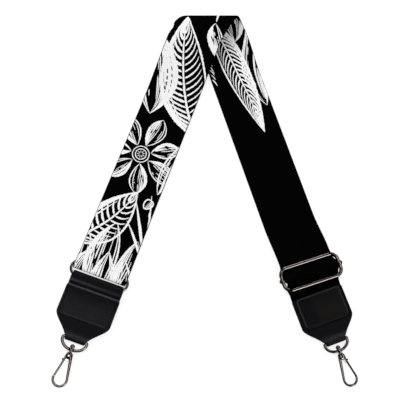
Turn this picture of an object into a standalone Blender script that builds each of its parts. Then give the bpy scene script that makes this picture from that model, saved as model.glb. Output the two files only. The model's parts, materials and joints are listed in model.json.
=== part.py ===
"""Detachable shoulder strap for a bag, folded over itself and lying flat.

One 50 mm webbing, printed on one side, runs double from a slider on the right leg,
over a bend at the top and round an oval ring on the left leg. Each end has a leather
tab with a D eye, a swivel hook and a sprung gate.

Lengths are in metres and angles in radians. The fold's axis lies along X, both legs run
towards -Y and +Z is up. A leg's own frame has +Y up the leg, towards the bend.
"""

import math

import bmesh
import bpy
from mathutils import Matrix, Vector

# Webbing
WEBBING_WIDTH = 0.050
WEBBING_THICKNESS = 0.0013
GAP = 0.0003  # between pieces that touch

# The bend and the legs
BEND_HEIGHT = 0.0216  # outside, from the surface to the top of the bend
LEFT_LEAN = math.radians(23.4)  # of the left leg, from the fold's square
RIGHT_LEAN = math.radians(15.1)
RIGHT_LEG_X = 0.0201  # where the right leg's axis meets the fold's axis
LEFT_DESCENT = 0.083  # along Y, from the fold's axis to where the left leg lies flat
BEND_DRIFT = 0.0018  # how far the webbing bows out past the right leg's line
BEND_LEAD = 0.014  # before the fold's axis, where the webbing starts to drift across
BEND_OVERRUN = 0.012  # along the right leg, to where that bow is widest
BOW_LENGTH = 0.040  # from there to where it has gone
CORNER_PULL = 0.0046  # how far the bend's left corner is drawn back
CORNER_WIDTH = 0.0065  # across the webbing, of that corner
CORNER_FADE = 0.014  # along the webbing, before and past the bend

# Stations along the legs, measured from the fold's axis
RING_BAR_AT = 0.2588  # the ring's upper bar
RUN_FROM = 0.095  # the right leg's sliding runs start here
SLIDER_AT = 0.2596  # the slider's centre bar

# Oval ring
RING_CLEAR = 0.0005  # between the webbing's edge and the ring's end
RING_HEIGHT = 0.0162
RING_WIRE = 0.0024
RING_LOOP_LENGTH = 0.0228  # of the webbing's loop round the ring, above the upper bar

# Slider
SLIDER_CLEAR = 0.0018  # between the webbing's edge and the side wire
SLIDER_HEIGHT = 0.0246
SLIDER_WIRE = 0.0034
SLIDER_CORNER = 0.0068  # radius of the wire's centre line
BEAD_LENGTH = 0.0058
BEAD_OUT = 0.0002  # from the side wire's centre to the bead's
BEAD_WIDTH = 0.0050
BEAD_DEPTH = 0.0058
SLIDER_SHIFT = 0.0008  # sideways, within the play of the webbing
SLIDER_LIFT = 0.0030  # that the stiff webbing holds it up
RIDE_LENGTH = 0.0540  # of the webbing that rides with the slider, above its centre bar
BAR_LOOP_TAIL = 0.018  # sewn back on the run, from the bar's axis
HUMP_SIDE_ANGLE = math.radians(60)
HUMP_FOOT_RADIUS = 0.0020

# Leather tabs
LEATHER = 0.0013
NECK_WIDTH = 0.0185
TAPER_LENGTH = 0.0222
TAPER_POWER_SHARE = 0.93  # under 1 it starts the taper's inward curve sooner
LEFT_TAB_DROP = 0.0082  # from the ring's lower bar to the tab's top edge
LEFT_TAB_LENGTH = 0.0474
RIGHT_TAB_DROP = 0.0069  # from the slider's lower edge to the tab's top edge
RIGHT_TAB_LENGTH = 0.0494
WEBBING_SEWN = 0.0262  # of the webbing's end, inside the right tab
SHOULDER_RISE = 0.020  # of the front panel, before the neck
FILLER_INSET = 0.0030  # from the tab's sides, and from what is sewn in above it
FILLER_CLEAR = 0.0048  # from the D eye's bar
TAB_TOP_CORNER = 0.0020

# Leather loop between the ring and the left tab
LOOP_LEATHER = 0.0010
LOOP_INSET = 0.0005  # from the webbing's edge
LOOP_SLACK = 0.0046  # from the ring's lower bar to the loop's end
LOOP_PART = 0.0011  # between the loop's end and the webbing's, inside the ring
LOOP_SEWN = 0.0242  # of the loop's tails, inside the left tab
LOOP_CORNER = 0.0008  # taken off each side at the fold

# How the tabs hang, off their legs' lines
LEFT_TAB_SHIFT = 0.0009
LEFT_TAB_TURN = math.radians(0.7)
RIGHT_TAB_SHIFT = 0.0006
RIGHT_TAB_TURN = math.radians(1.3)

# D eye
D_WIDTH = 0.0250
D_DEPTH = 0.0124
D_WIRE = 0.0026
D_CORNER = 0.0015
BOSS_DIAMETER = 0.0050
BOSS_LENGTH = 0.0031
SHANK_DIAMETER = 0.0022
RIVET_HEAD = 0.0042
HEAD_FLAT_SHARE = 0.72  # of the rivet head's height, kept when its underside is cut flat

# Hook, measured down from the D eye's boss
HOOK_LENGTH = 0.0320
BOW_WIDTH = 0.0142
HOOK_HEAD_TOP_WIDTH = 0.0044
HOOK_HEAD_WIDTH = 0.0076
HOOK_HEAD_LENGTH = 0.0068
HOOK_HEAD_DEPTH = 0.0052
HEAD_EDGE = 0.0004
SHANK_SINK = 0.0026
SPINE_WIRE = 0.0028
BOW_WIRE = 0.0021
SPINE_FROM = 0.0020
SPINE_X = 0.0016
SEAT_LENGTH = 0.0030  # flat ground inside the bow, where a bag's ring hangs
SEAT_DEPTH = 0.00025

# Gate
PIN_DIAMETER = 0.0012
PIN_X = 0.0022
PIN_AT = 0.0056
EYE_DIAMETER = 0.0025
GATE_DEPTH = 0.0018
GATE_WIRE = 0.0014
SLOT_DEPTH = 0.0024
THUMB_DIAMETER = 0.0021
THUMB_AT_SHARE = 0.16  # of the gate's length, from the pin
SPRING_LEAF = 0.0003
SPRING_WIDTH = 0.0014
SPRING_REACH = 0.0050

# Fineness
RING_ARC_STEPS = 12
ARC_STEPS = 8
BEND_STEPS = 36
CORNER_STEPS = 4
ACROSS_STEPS = 12
DESCENT_STEPS = 10
BOW_STEPS = 6
TAPER_STEPS = 8
TUBE_RESOLUTION = 3
ROUND_SIDES = 16
OVERRUN = 0.002  # of a cutter past what it cuts

BLACK_WEBBING = ((0.012, 0.012, 0.013), 0.85, 0.0)
BLACK_LEATHER = ((0.022, 0.022, 0.025), 0.50, 0.0)
FILLER_BOARD = ((0.060, 0.050, 0.045), 0.90, 0.0)
NICKEL = ((0.62, 0.58, 0.56), 0.22, 1.0)
SPRING_STEEL = ((0.45, 0.44, 0.43), 0.30, 1.0)

# Derived
LAYER_STEP = WEBBING_THICKNESS + GAP
DOUBLE_WEBBING = WEBBING_THICKNESS + LAYER_STEP
LAYER_MID = LAYER_STEP / 2
REST_Z = DOUBLE_WEBBING / 2
BEND_RADIUS = (BEND_HEIGHT - DOUBLE_WEBBING) / 2
BEND_LENGTH = math.pi * BEND_RADIUS
LOWER_Z = WEBBING_THICKNESS / 2
UPPER_Z = LOWER_Z + LAYER_STEP
RING_Z = WEBBING_THICKNESS + GAP + RING_WIRE / 2
RING_PITCH = RING_HEIGHT - RING_WIRE
RING_LENGTH = WEBBING_WIDTH + 2 * (RING_CLEAR + RING_WIRE)
RING_FOLD_AT = RING_BAR_AT + RING_PITCH - LOOP_SLACK - LOOP_PART  # end of the webbing's loop
RING_LOOP_FROM = RING_BAR_AT - RING_LOOP_LENGTH
RIDE_FROM = SLIDER_AT - RIDE_LENGTH
SLIDER_LENGTH = WEBBING_WIDTH + 2 * (SLIDER_CLEAR + SLIDER_WIRE)
LOOP_WIDTH = WEBBING_WIDTH - 2 * LOOP_INSET
SLIDER_Z = WEBBING_THICKNESS + 2 * LAYER_STEP + GAP + SLIDER_WIRE / 2 + SLIDER_LIFT
NECK_RADIUS = D_WIRE / 2 + GAP + LEATHER / 2
NECK_Z = NECK_RADIUS + LEATHER / 2
D_REACH = D_DEPTH - D_WIRE
BOSS_DROP = D_REACH + D_WIRE / 2  # from the D eye's bar to the boss's lower end
NECK_CLEAR = D_WIDTH / 2 - D_WIRE - GAP  # half width that the D eye's arms swing past


def clear_scene():
    for obj in list(bpy.data.objects):
        bpy.data.objects.remove(obj, do_unlink=True)


def collection_named(name):
    made = bpy.data.collections.new(name)
    bpy.context.scene.collection.children.link(made)
    return made


def material_named(name, look):
    colour, roughness, metallic = look
    made = bpy.data.materials.new(name)
    made.use_nodes = True
    shader = made.node_tree.nodes["Principled BSDF"]
    shader.inputs["Base Color"].default_value = (*colour, 1)
    shader.inputs["Roughness"].default_value = roughness
    shader.inputs["Metallic"].default_value = metallic
    return made


def empty_at(name, parent, location, turn=0.0):
    made = bpy.data.objects.new(name, None)
    PARTS.objects.link(made)
    made.parent = parent
    made.location = location
    made.rotation_euler = (0, 0, turn)
    return made


def add_object(name, data, parent, look):
    made = bpy.data.objects.new(name, data)
    PARTS.objects.link(made)
    made.parent = parent
    data.materials.append(material_named(name, look))
    return made


def shade_round(obj):
    obj.data.shade_smooth()
    obj.data.set_sharp_from_angle(angle=math.radians(40))


def evaluated_mesh(obj):
    """A new mesh of the object as its modifiers leave it, with loose caps welded."""
    bpy.context.view_layer.update()
    graph = bpy.context.evaluated_depsgraph_get()
    mesh = bpy.data.meshes.new_from_object(obj.evaluated_get(graph))
    work = bmesh.new()
    work.from_mesh(mesh)
    bmesh.ops.remove_doubles(work, verts=work.verts, dist=GAP / 1000)
    work.to_mesh(mesh)
    work.free()
    return mesh


def meshed(obj):
    """The curve object as a mesh object of the same name."""
    mesh = evaluated_mesh(obj)
    name, parent, place = obj.name, obj.parent, obj.matrix_basis.copy()
    curve = obj.data
    bpy.data.objects.remove(obj, do_unlink=True)
    bpy.data.curves.remove(curve)
    made = bpy.data.objects.new(name, mesh)
    PARTS.objects.link(made)
    made.parent = parent
    made.matrix_basis = place
    return made


def tube(name, points, wire, parent, look, closed=False, wires=None):
    """A round wire along the points. wires, if given, holds its diameter at each."""
    curve = bpy.data.curves.new(name, "CURVE")
    curve.dimensions = "3D"
    curve.bevel_depth = wire / 2
    curve.bevel_resolution = TUBE_RESOLUTION
    curve.use_fill_caps = True
    spline = curve.splines.new("POLY")
    spline.points.add(len(points) - 1)
    for index, (slot, point) in enumerate(zip(spline.points, points)):
        slot.co = (*point, 1)
        slot.radius = wires[index] / wire if wires else 1
    spline.use_cyclic_u = closed
    made = meshed(add_object(name, curve, parent, look))
    shade_round(made)
    return made


def sheet(name, rows, thickness, parent, look):
    """A flexible sheet of even thickness, whose middle surface runs through the rows."""
    work = bmesh.new()
    grid = [[work.verts.new(point) for point in row] for row in rows]
    for near, far in zip(grid, grid[1:]):
        for a, b, c, d in zip(near, near[1:], far[1:], far):
            work.faces.new((a, b, c, d))
    mesh = bpy.data.meshes.new(name)
    work.to_mesh(mesh)
    work.free()
    made = add_object(name, mesh, parent, look)
    solidify = made.modifiers.new("Thickness", "SOLIDIFY")
    solidify.thickness = thickness
    solidify.offset = 0
    solidify.use_even_offset = True
    shade_round(made)
    return made


def cylinder(name, diameter, length, place, parent, look=None):
    work = bmesh.new()
    radius = diameter / 2
    bmesh.ops.create_cone(
        work, cap_ends=True, segments=ROUND_SIDES, radius1=radius, radius2=radius, depth=length
    )
    return placed_mesh(name, work, place, parent, look)


def box(name, size, place, parent, look=None):
    work = bmesh.new()
    bmesh.ops.create_cube(work, size=1)
    bmesh.ops.scale(work, vec=size, verts=work.verts)
    return placed_mesh(name, work, place, parent, look)


def ellipsoid(name, size, place, parent, look):
    work = bmesh.new()
    bmesh.ops.create_uvsphere(work, u_segments=ROUND_SIDES, v_segments=ARC_STEPS, radius=1)
    bmesh.ops.scale(work, vec=[side / 2 for side in size], verts=work.verts)
    return placed_mesh(name, work, place, parent, look)


def placed_mesh(name, work, place, parent, look):
    """The bmesh as an object. With no look it is a cutter, kept out of the model."""
    work.transform(place)
    mesh = bpy.data.meshes.new(name)
    work.to_mesh(mesh)
    work.free()
    if look:
        made = add_object(name, mesh, parent, look)
        shade_round(made)
        return made
    made = bpy.data.objects.new(name, mesh)
    CUTTERS.objects.link(made)
    made.parent = parent
    made.hide_render = True
    made.display_type = "WIRE"
    return made


def combine(body, other, operation):
    """Joins or cuts the body with the other object, and removes a joined one."""
    modifier = body.modifiers.new(other.name, "BOOLEAN")
    modifier.operation = operation
    modifier.object = other
    if operation == "DIFFERENCE":
        return
    mesh = evaluated_mesh(body)
    body.modifiers.clear()
    body.data = mesh
    bpy.data.objects.remove(other, do_unlink=True)
    shade_round(body)


def ease(share):
    """A smooth step from 0 to 1."""
    share = min(max(share, 0), 1)
    return share * share * (3 - 2 * share)


def arc(centre, radius, start, turn, steps):
    """Points on a circle in a plane, both ends included."""
    angles = [start + turn * step / steps for step in range(steps + 1)]
    return [(centre[0] + radius * math.cos(a), centre[1] + radius * math.sin(a)) for a in angles]


def spread(start, end, steps):
    return [start + (end - start) * step / steps for step in range(steps + 1)]


def strap_axis(v):
    """X of the webbing's centre line. v runs along the fold's outline in the YZ plane:
    below 0 it is the left leg's Y, then the length round the bend, then the right leg."""
    left, right = math.tan(LEFT_LEAN), math.tan(RIGHT_LEAN)
    past = v - BEND_LENGTH
    if v <= -BEND_LEAD:
        return v * left
    if past >= BEND_OVERRUN:
        fade = 1 - ease((past - BEND_OVERRUN) / BOW_LENGTH)
        return RIGHT_LEG_X + past * right + BEND_DRIFT * fade
    span = BEND_LEAD + BEND_LENGTH + BEND_OVERRUN
    start = -BEND_LEAD * left
    end = RIGHT_LEG_X + BEND_OVERRUN * right + BEND_DRIFT
    t = (v + BEND_LEAD) / span
    rise = start + ease(t) * (end - start)
    return rise + span * (left * t * (1 - t) ** 2 - right * t * t * (1 - t))


def strap_heading(v):
    step = BEND_RADIUS / 100
    return math.atan((strap_axis(v + step) - strap_axis(v - step)) / (2 * step))


def fold_outline(v):
    """Y and Z of the middle between the two layers."""
    if v > BEND_LENGTH:
        return BEND_LENGTH - v, REST_Z
    if v >= 0:
        turn = v / BEND_RADIUS
        return BEND_RADIUS * math.sin(turn), BEND_HEIGHT / 2 + BEND_RADIUS * math.cos(turn)
    return v, REST_Z + 2 * BEND_RADIUS * (1 - ease(-v / LEFT_DESCENT))


def corner_pull(v, across):
    """How far the webbing's left edge is drawn back along Y where it turns the bend."""
    sideways = max(-across - WEBBING_WIDTH / 2 + CORNER_WIDTH, 0) / CORNER_WIDTH
    before = ease((v + CORNER_FADE) / CORNER_FADE)
    past = ease((v - BEND_LENGTH) / CORNER_FADE)
    return CORNER_PULL * sideways * sideways * (before - past)


def middle_point(v, across):
    """A point of the surface midway between the layers, by its place along and across."""
    heading = strap_heading(v)
    wrapped = v - across * math.sin(heading)
    y, z = fold_outline(wrapped)
    x = strap_axis(v) + across * math.cos(heading)
    return Vector((x, y - corner_pull(wrapped, across), z))


def strap_point(v, across, height):
    """The same point, moved out from the fold by a height square to that surface."""
    step = BEND_RADIUS / 100
    along = middle_point(v + step, across) - middle_point(v - step, across)
    sideways = middle_point(v, across + step) - middle_point(v, across - step)
    return middle_point(v, across) + sideways.cross(along).normalized() * height


def layer_rows(stations, height):
    corner_end = CORNER_WIDTH - WEBBING_WIDTH / 2
    across = spread(-WEBBING_WIDTH / 2, corner_end, CORNER_STEPS)
    across += spread(corner_end, WEBBING_WIDTH / 2, ACROSS_STEPS)[1:]
    return [[strap_point(v, n, height) for n in across] for v in stations]


def band_rows(outline, half_width):
    """Rows of a band that runs along a leg. The outline holds (distance down the leg, Z),
    and half_width is a number or a function of that distance."""
    rows = []
    for at, z in outline:
        half = half_width(at) if callable(half_width) else half_width
        rows.append([Vector((x, -at, z)) for x in spread(-half, half, 2)])
    return rows


def thinned(points, least):
    """The points, without those that follow the one before too closely."""
    kept = [points[0]]
    for point in points[1:]:
        if math.dist(point, kept[-1]) > least:
            kept.append(point)
    return kept


def make_webbing_layers(root):
    """Both layers of the left leg and of the bend, as far as the right leg's runs."""
    left_end = -RING_LOOP_FROM * math.cos(LEFT_LEAN)
    right_end = BEND_LENGTH + RUN_FROM * math.cos(RIGHT_LEAN)
    slant = WEBBING_WIDTH / 2 * math.sin(strap_heading(0))
    stations = [left_end]
    stations += spread(-LEFT_DESCENT - slant, -slant, DESCENT_STEPS)[:-1]
    stations += spread(-slant, BEND_LENGTH + slant, BEND_STEPS)
    stations += spread(BEND_LENGTH + slant, right_end, BOW_STEPS)[1:]
    outer = layer_rows(stations, LAYER_MID)
    inner = layer_rows(stations, -LAYER_MID)
    sheet("webbing_outer_layer", outer, WEBBING_THICKNESS, root, BLACK_WEBBING)
    sheet("webbing_inner_layer", inner, WEBBING_THICKNESS, root, BLACK_WEBBING)


def make_ring_loop(leg):
    """The webbing's slack loop round the ring's upper bar."""
    start = RING_LOOP_FROM + GAP
    radius = RING_Z - LOWER_Z
    centre = (RING_FOLD_AT - RING_Z, RING_Z)
    top = RING_Z + radius
    lift_from, lift_to = RING_BAR_AT - RING_HEIGHT / 2, RING_BAR_AT - RING_WIRE
    outline = [(start, LOWER_Z), (lift_to, LOWER_Z)]
    outline += arc(centre, radius, -math.pi / 2, math.pi, ARC_STEPS)
    lift = spread(lift_to, lift_from, ARC_STEPS)
    outline += [
        (at, UPPER_Z + (top - UPPER_Z) * ease((at - lift_from) / (lift_to - lift_from)))
        for at in lift
    ]
    outline.append((start, UPPER_Z))
    rows = band_rows(outline, WEBBING_WIDTH / 2)
    sheet("webbing_ring_loop", rows, WEBBING_THICKNESS, leg, BLACK_WEBBING)


def make_right_runs(leg):
    """The two straight stretches of the right leg that grow shorter as the slider rises."""
    for name, z in (("webbing_upper_run", UPPER_Z), ("webbing_lower_run", LOWER_Z)):
        outline = [(RUN_FROM + GAP, z), (RIDE_FROM - GAP, z)]
        rows = band_rows(outline, WEBBING_WIDTH / 2)
        sheet(name, rows, WEBBING_THICKNESS, leg, BLACK_WEBBING)


def side_over_bar(radius, floor_z, direction):
    """One side of the webbing's rise over the centre bar, from the top down to its foot."""
    angle = HUMP_SIDE_ANGLE
    crown = arc((0, SLIDER_Z), radius, math.pi / 2, -angle, ARC_STEPS)
    at, z = crown[-1]
    foot_top = floor_z + HUMP_FOOT_RADIUS * (1 - math.cos(angle))
    turn_at = at + (z - foot_top) / math.tan(angle)
    centre = (turn_at + HUMP_FOOT_RADIUS * math.sin(angle), floor_z + HUMP_FOOT_RADIUS)
    foot = arc(centre, HUMP_FOOT_RADIUS, -math.pi / 2 - angle, angle, ARC_STEPS)
    return [(direction * at, z) for at, z in crown + foot]


def climb(from_z, to_z, end):
    """The stretch above the slider that rises to it, up to an end beside its centre bar."""
    return [
        (at, from_z + (to_z - from_z) * ease((at + RIDE_LENGTH) / (end + RIDE_LENGTH)))
        for at in spread(-RIDE_LENGTH, end, ARC_STEPS)
    ]


def make_bar_loop(holder):
    """The webbing's end, sewn round the slider's centre bar. The holder is at the bar."""
    radius = SLIDER_WIRE / 2 + GAP + WEBBING_THICKNESS / 2
    floor_z, low = LOWER_Z + SLIDER_LIFT, SLIDER_Z - radius
    outline = climb(LOWER_Z, floor_z, -BAR_LOOP_TAIL)
    outline += [
        (at, low + (floor_z - low) * ease(-at / (2 * radius)))
        for at in spread(-2 * radius, 0, ARC_STEPS)
    ]
    outline += arc((0, SLIDER_Z), radius, -math.pi / 2, math.pi, ARC_STEPS)
    outline += side_over_bar(radius, UPPER_Z + SLIDER_LIFT, -1)[1:]
    outline.append((-BAR_LOOP_TAIL, UPPER_Z + SLIDER_LIFT))
    rows = band_rows(thinned(outline, GAP / 2), WEBBING_WIDTH / 2)
    made = sheet("webbing_bar_loop", rows, WEBBING_THICKNESS, holder, BLACK_WEBBING)
    made.location.x = -SLIDER_SHIFT


def make_hump(holder):
    """The run that passes under the upper bar, over the centre bar and under the lower."""
    radius = SLIDER_WIRE / 2 + 1.5 * WEBBING_THICKNESS + 2 * GAP
    upper_floor = UPPER_Z + LAYER_STEP + SLIDER_LIFT
    outline = climb(UPPER_Z, upper_floor, -BAR_LOOP_TAIL - 2 * GAP)
    outline += reversed(side_over_bar(radius, upper_floor, -1))
    outline += side_over_bar(radius, UPPER_Z, 1)[1:]
    outline.append((SLIDER_HEIGHT / 2 + GAP, UPPER_Z))
    rows = band_rows(thinned(outline, GAP / 2), WEBBING_WIDTH / 2)
    made = sheet("webbing_hump", rows, WEBBING_THICKNESS, holder, BLACK_WEBBING)
    made.location.x = -SLIDER_SHIFT


def wire_oval(length, height, corner, wire):
    """Centre line of a closed wire, as points in the XY plane."""
    across, up = (length - wire) / 2 - corner, (height - wire) / 2 - corner
    points = []
    for quarter, (x, y) in enumerate(((across, up), (-across, up), (-across, -up), (across, -up))):
        points += arc((x, y), corner, quarter * math.pi / 2, math.pi / 2, RING_ARC_STEPS)
    points = thinned(points, wire / 100)
    if math.dist(points[0], points[-1]) < wire / 100:
        points.pop()
    return [(x, y, 0) for x, y in points]


def make_ring(holder):
    """Oval ring, whose upper bar lies on the holder's X axis."""
    corner = RING_PITCH / 2
    points = wire_oval(RING_LENGTH, RING_HEIGHT, corner, RING_WIRE)
    points = [(x, y - RING_PITCH / 2, z) for x, y, z in points]
    tube("oval_ring", points, RING_WIRE, holder, NICKEL, closed=True)


def make_slider(holder):
    """Wire frame, and a centre bar whose beads ride on the frame's two side wires."""
    points = wire_oval(SLIDER_LENGTH, SLIDER_HEIGHT, SLIDER_CORNER, SLIDER_WIRE)
    frame = tube("slider_frame", points, SLIDER_WIRE, holder, NICKEL, closed=True)
    frame.location.z = SLIDER_Z
    side_x = (SLIDER_LENGTH - SLIDER_WIRE) / 2
    turned = Matrix.Rotation(math.pi / 2, 4, "Y")
    bar = cylinder("slider_bar", SLIDER_WIRE, 2 * side_x, turned, holder, NICKEL)
    bar.location.z = SLIDER_Z
    for side in (-1, 1):
        centre = Matrix.Translation((side * (side_x + BEAD_OUT), 0, 0))
        bead = ellipsoid("bead", (BEAD_LENGTH, BEAD_WIDTH, BEAD_DEPTH), centre, holder, NICKEL)
        bead.location.z = SLIDER_Z
        combine(bar, bead, "UNION")
    for side in (-1, 1):
        centre = Matrix.Translation((side * side_x, 0, SLIDER_Z)) @ Matrix.Rotation(math.pi / 2, 4, "X")
        bore = cylinder(
            f"side_bore_{side}", SLIDER_WIRE + 2 * GAP, BEAD_WIDTH + OVERRUN, centre, holder
        )
        combine(bar, bore, "DIFFERENCE")


def tab_half_width(at, length):
    share = (at - (length - TAPER_LENGTH)) / TAPER_LENGTH
    share = min(max(share, 0), 1) ** TAPER_POWER_SHARE
    return WEBBING_WIDTH / 2 + (NECK_WIDTH - WEBBING_WIDTH) / 2 * ease(share)


def make_tab(side, length, inside, sewn, holder):
    """Leather folded at the neck round the D eye's bar, with its front over what is sewn
    inside. The holder is at the middle of the tab's top edge."""
    front_z = LEATHER + inside + GAP + LEATHER / 2
    bar_at = length - NECK_Z
    rise_from = bar_at - SHOULDER_RISE
    corner = TAB_TOP_CORNER

    def half(at):
        if at > bar_at - D_WIRE / 2:
            return min(tab_half_width(at, length), NECK_CLEAR)
        into = min(at / corner, 1)
        return tab_half_width(at, length) - corner * (1 - math.sqrt(max(1 - (1 - into) ** 2, 0)))

    downs = spread(0, corner, 3) + spread(length - TAPER_LENGTH, bar_at, TAPER_STEPS * 2)
    lift = NECK_Z + NECK_RADIUS - front_z
    front = [(at, front_z + lift * ease((at - rise_from) / SHOULDER_RISE)) for at in downs]
    bend = arc((bar_at, NECK_Z), NECK_RADIUS, math.pi / 2, -math.pi, ARC_STEPS)
    back = [(at, LEATHER / 2) for at in reversed(downs)]
    outline = thinned(front + bend[1:-1] + back, GAP / 10)
    sheet(f"{side}_tab_leather", band_rows(outline, half), LEATHER, holder, BLACK_LEATHER)
    steps = spread(sewn + FILLER_INSET, bar_at - FILLER_CLEAR, TAPER_STEPS)
    filler_z = LEATHER + GAP + WEBBING_THICKNESS / 2
    rows = band_rows(
        [(at, filler_z) for at in steps], lambda at: tab_half_width(at, length) - FILLER_INSET
    )
    sheet(f"{side}_tab_filler", rows, WEBBING_THICKNESS, holder, FILLER_BOARD)


def make_webbing_end(holder):
    """The single layer between the slider and the right tab, sewn in between its panels."""
    outline = [(3 * GAP - RIGHT_TAB_DROP, UPPER_Z), (WEBBING_SEWN, UPPER_Z)]
    rows = band_rows(outline, WEBBING_WIDTH / 2)
    sheet("webbing_tab_end", rows, WEBBING_THICKNESS, holder, BLACK_WEBBING)


def make_ring_leather(holder):
    """The leather loop round the ring's lower bar, with both tails in the left tab."""
    radius = RING_WIRE / 2 + GAP + LOOP_LEATHER / 2
    low_z = LEATHER + GAP + LOOP_LEATHER / 2
    high_z = low_z + LOOP_LEATHER + GAP
    bar_at = -LEFT_TAB_DROP
    centre = (bar_at - LOOP_SLACK + radius + LOOP_LEATHER / 2, RING_Z)
    closes_from = bar_at + RING_WIRE
    closes_to = -GAP
    steps = spread(centre[0], closes_from, 4)[1:-1] + spread(closes_from, closes_to, ARC_STEPS)
    span = closes_to - closes_from

    def side(end_z, tail_z):
        closing = [(at, end_z + (tail_z - end_z) * ease((at - closes_from) / span)) for at in steps]
        return closing + [(LOOP_SEWN, tail_z)]

    outline = list(reversed(side(RING_Z - radius, low_z)))
    outline += reversed(arc(centre, radius, math.pi / 2, math.pi, ARC_STEPS))
    outline += side(RING_Z + radius, high_z)

    def half(at):
        return LOOP_WIDTH / 2 - LOOP_CORNER * (1 - ease((at - centre[0]) / LOOP_CORNER))

    rows = band_rows(outline, half)
    sheet("left_ring_leather", rows, LOOP_LEATHER, holder, BLACK_LEATHER)


def make_d_eye(side, holder):
    """D eye whose straight bar lies on the holder's X axis, with the swivel's boss."""
    half = (D_WIDTH - D_WIRE) / 2
    points = arc((half - D_CORNER, -D_CORNER), D_CORNER, math.pi / 2, -math.pi / 2, 4)
    for angle in spread(0, math.pi, RING_ARC_STEPS * 2)[1:-1]:
        drop = D_CORNER + (D_REACH - D_CORNER) * math.sin(angle)
        points.append((half * math.cos(angle), -drop))
    points += arc((D_CORNER - half, -D_CORNER), D_CORNER, math.pi, -math.pi / 2, 4)
    points = [(x, y, 0) for x, y in points]
    eye = tube(f"{side}_d_eye", points, D_WIRE, holder, NICKEL, closed=True)
    along = Matrix.Rotation(math.pi / 2, 4, "X")
    centre = Matrix.Translation((0, BOSS_LENGTH / 2 - BOSS_DROP, 0)) @ along
    boss = cylinder("boss", BOSS_DIAMETER, BOSS_LENGTH, centre, holder, NICKEL)
    combine(eye, boss, "UNION")
    bore = cylinder(
        f"{side}_boss_bore", SHANK_DIAMETER + 2 * GAP, BOSS_LENGTH + OVERRUN, centre, holder
    )
    combine(eye, bore, "DIFFERENCE")


def make_rivet(side, holder):
    """Ball-headed rivet through the boss. The holder is on the swivel's axis, at the
    boss's lower end."""
    radius = RIVET_HEAD / 2
    cut = radius * (2 * HEAD_FLAT_SHARE - 1)
    base = BOSS_LENGTH + GAP
    start = math.asin(-cut / radius)
    profile = [
        (radius * math.cos(a), base + cut + radius * math.sin(a))
        for a in spread(math.pi / 2, start, ARC_STEPS)
    ]
    shank = SHANK_DIAMETER / 2
    end = -SHANK_SINK
    profile += [(shank, base), (shank, end), (0, end)]
    mesh = bpy.data.meshes.new(f"{side}_swivel_rivet")
    work = bmesh.new()
    points = [work.verts.new((max(x, 0), y, 0)) for x, y in profile]
    for a, b in zip(points, points[1:]):
        work.edges.new((a, b))
    work.to_mesh(mesh)
    work.free()
    rivet = add_object(f"{side}_swivel_rivet", mesh, holder, NICKEL)
    screw = rivet.modifiers.new("Turned", "SCREW")
    screw.axis = "Y"
    screw.steps = ROUND_SIDES
    screw.render_steps = ROUND_SIDES
    screw.use_merge_vertices = True
    screw.merge_threshold = GAP / 100
    shade_round(rivet)


def bow_path(flip):
    """Centre line of the spine and bow, the wire's diameter along it, and the point
    where the gate's tip meets it. flip is -1 where the gate is on the left."""
    radius = (BOW_WIDTH - BOW_WIRE) / 2
    centre_y = -(HOOK_LENGTH - BOW_WIDTH / 2)
    start = Vector((-SPINE_X, -SPINE_FROM))
    centre = Vector((0, centre_y))
    reach = (centre - start).length
    lean = math.atan2(start.x - centre.x, start.y - centre.y)
    touch = math.pi / 2 - lean + math.acos(radius / reach)
    gate_start = Vector((PIN_X, -PIN_AT))
    gate_reach = (centre - gate_start).length
    gate_lean = math.atan2(gate_start.x - centre.x, gate_start.y - centre.y)
    tip = math.pi / 2 - gate_lean - math.acos(radius / gate_reach)
    turn = 2 * math.pi - (touch - tip)
    bow = arc(centre, radius, touch, turn, RING_ARC_STEPS * 2)
    line = [start.lerp(Vector(bow[0]), share) for share in spread(0, 1, 4)[:-1]]
    points = [(flip * x, y, 0) for x, y in [tuple(p) for p in line] + bow]
    wires = spread(SPINE_WIRE, BOW_WIRE, 4)[:-1] + [BOW_WIRE] * len(bow)
    return points, wires, (flip * bow[-1][0], bow[-1][1])


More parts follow.
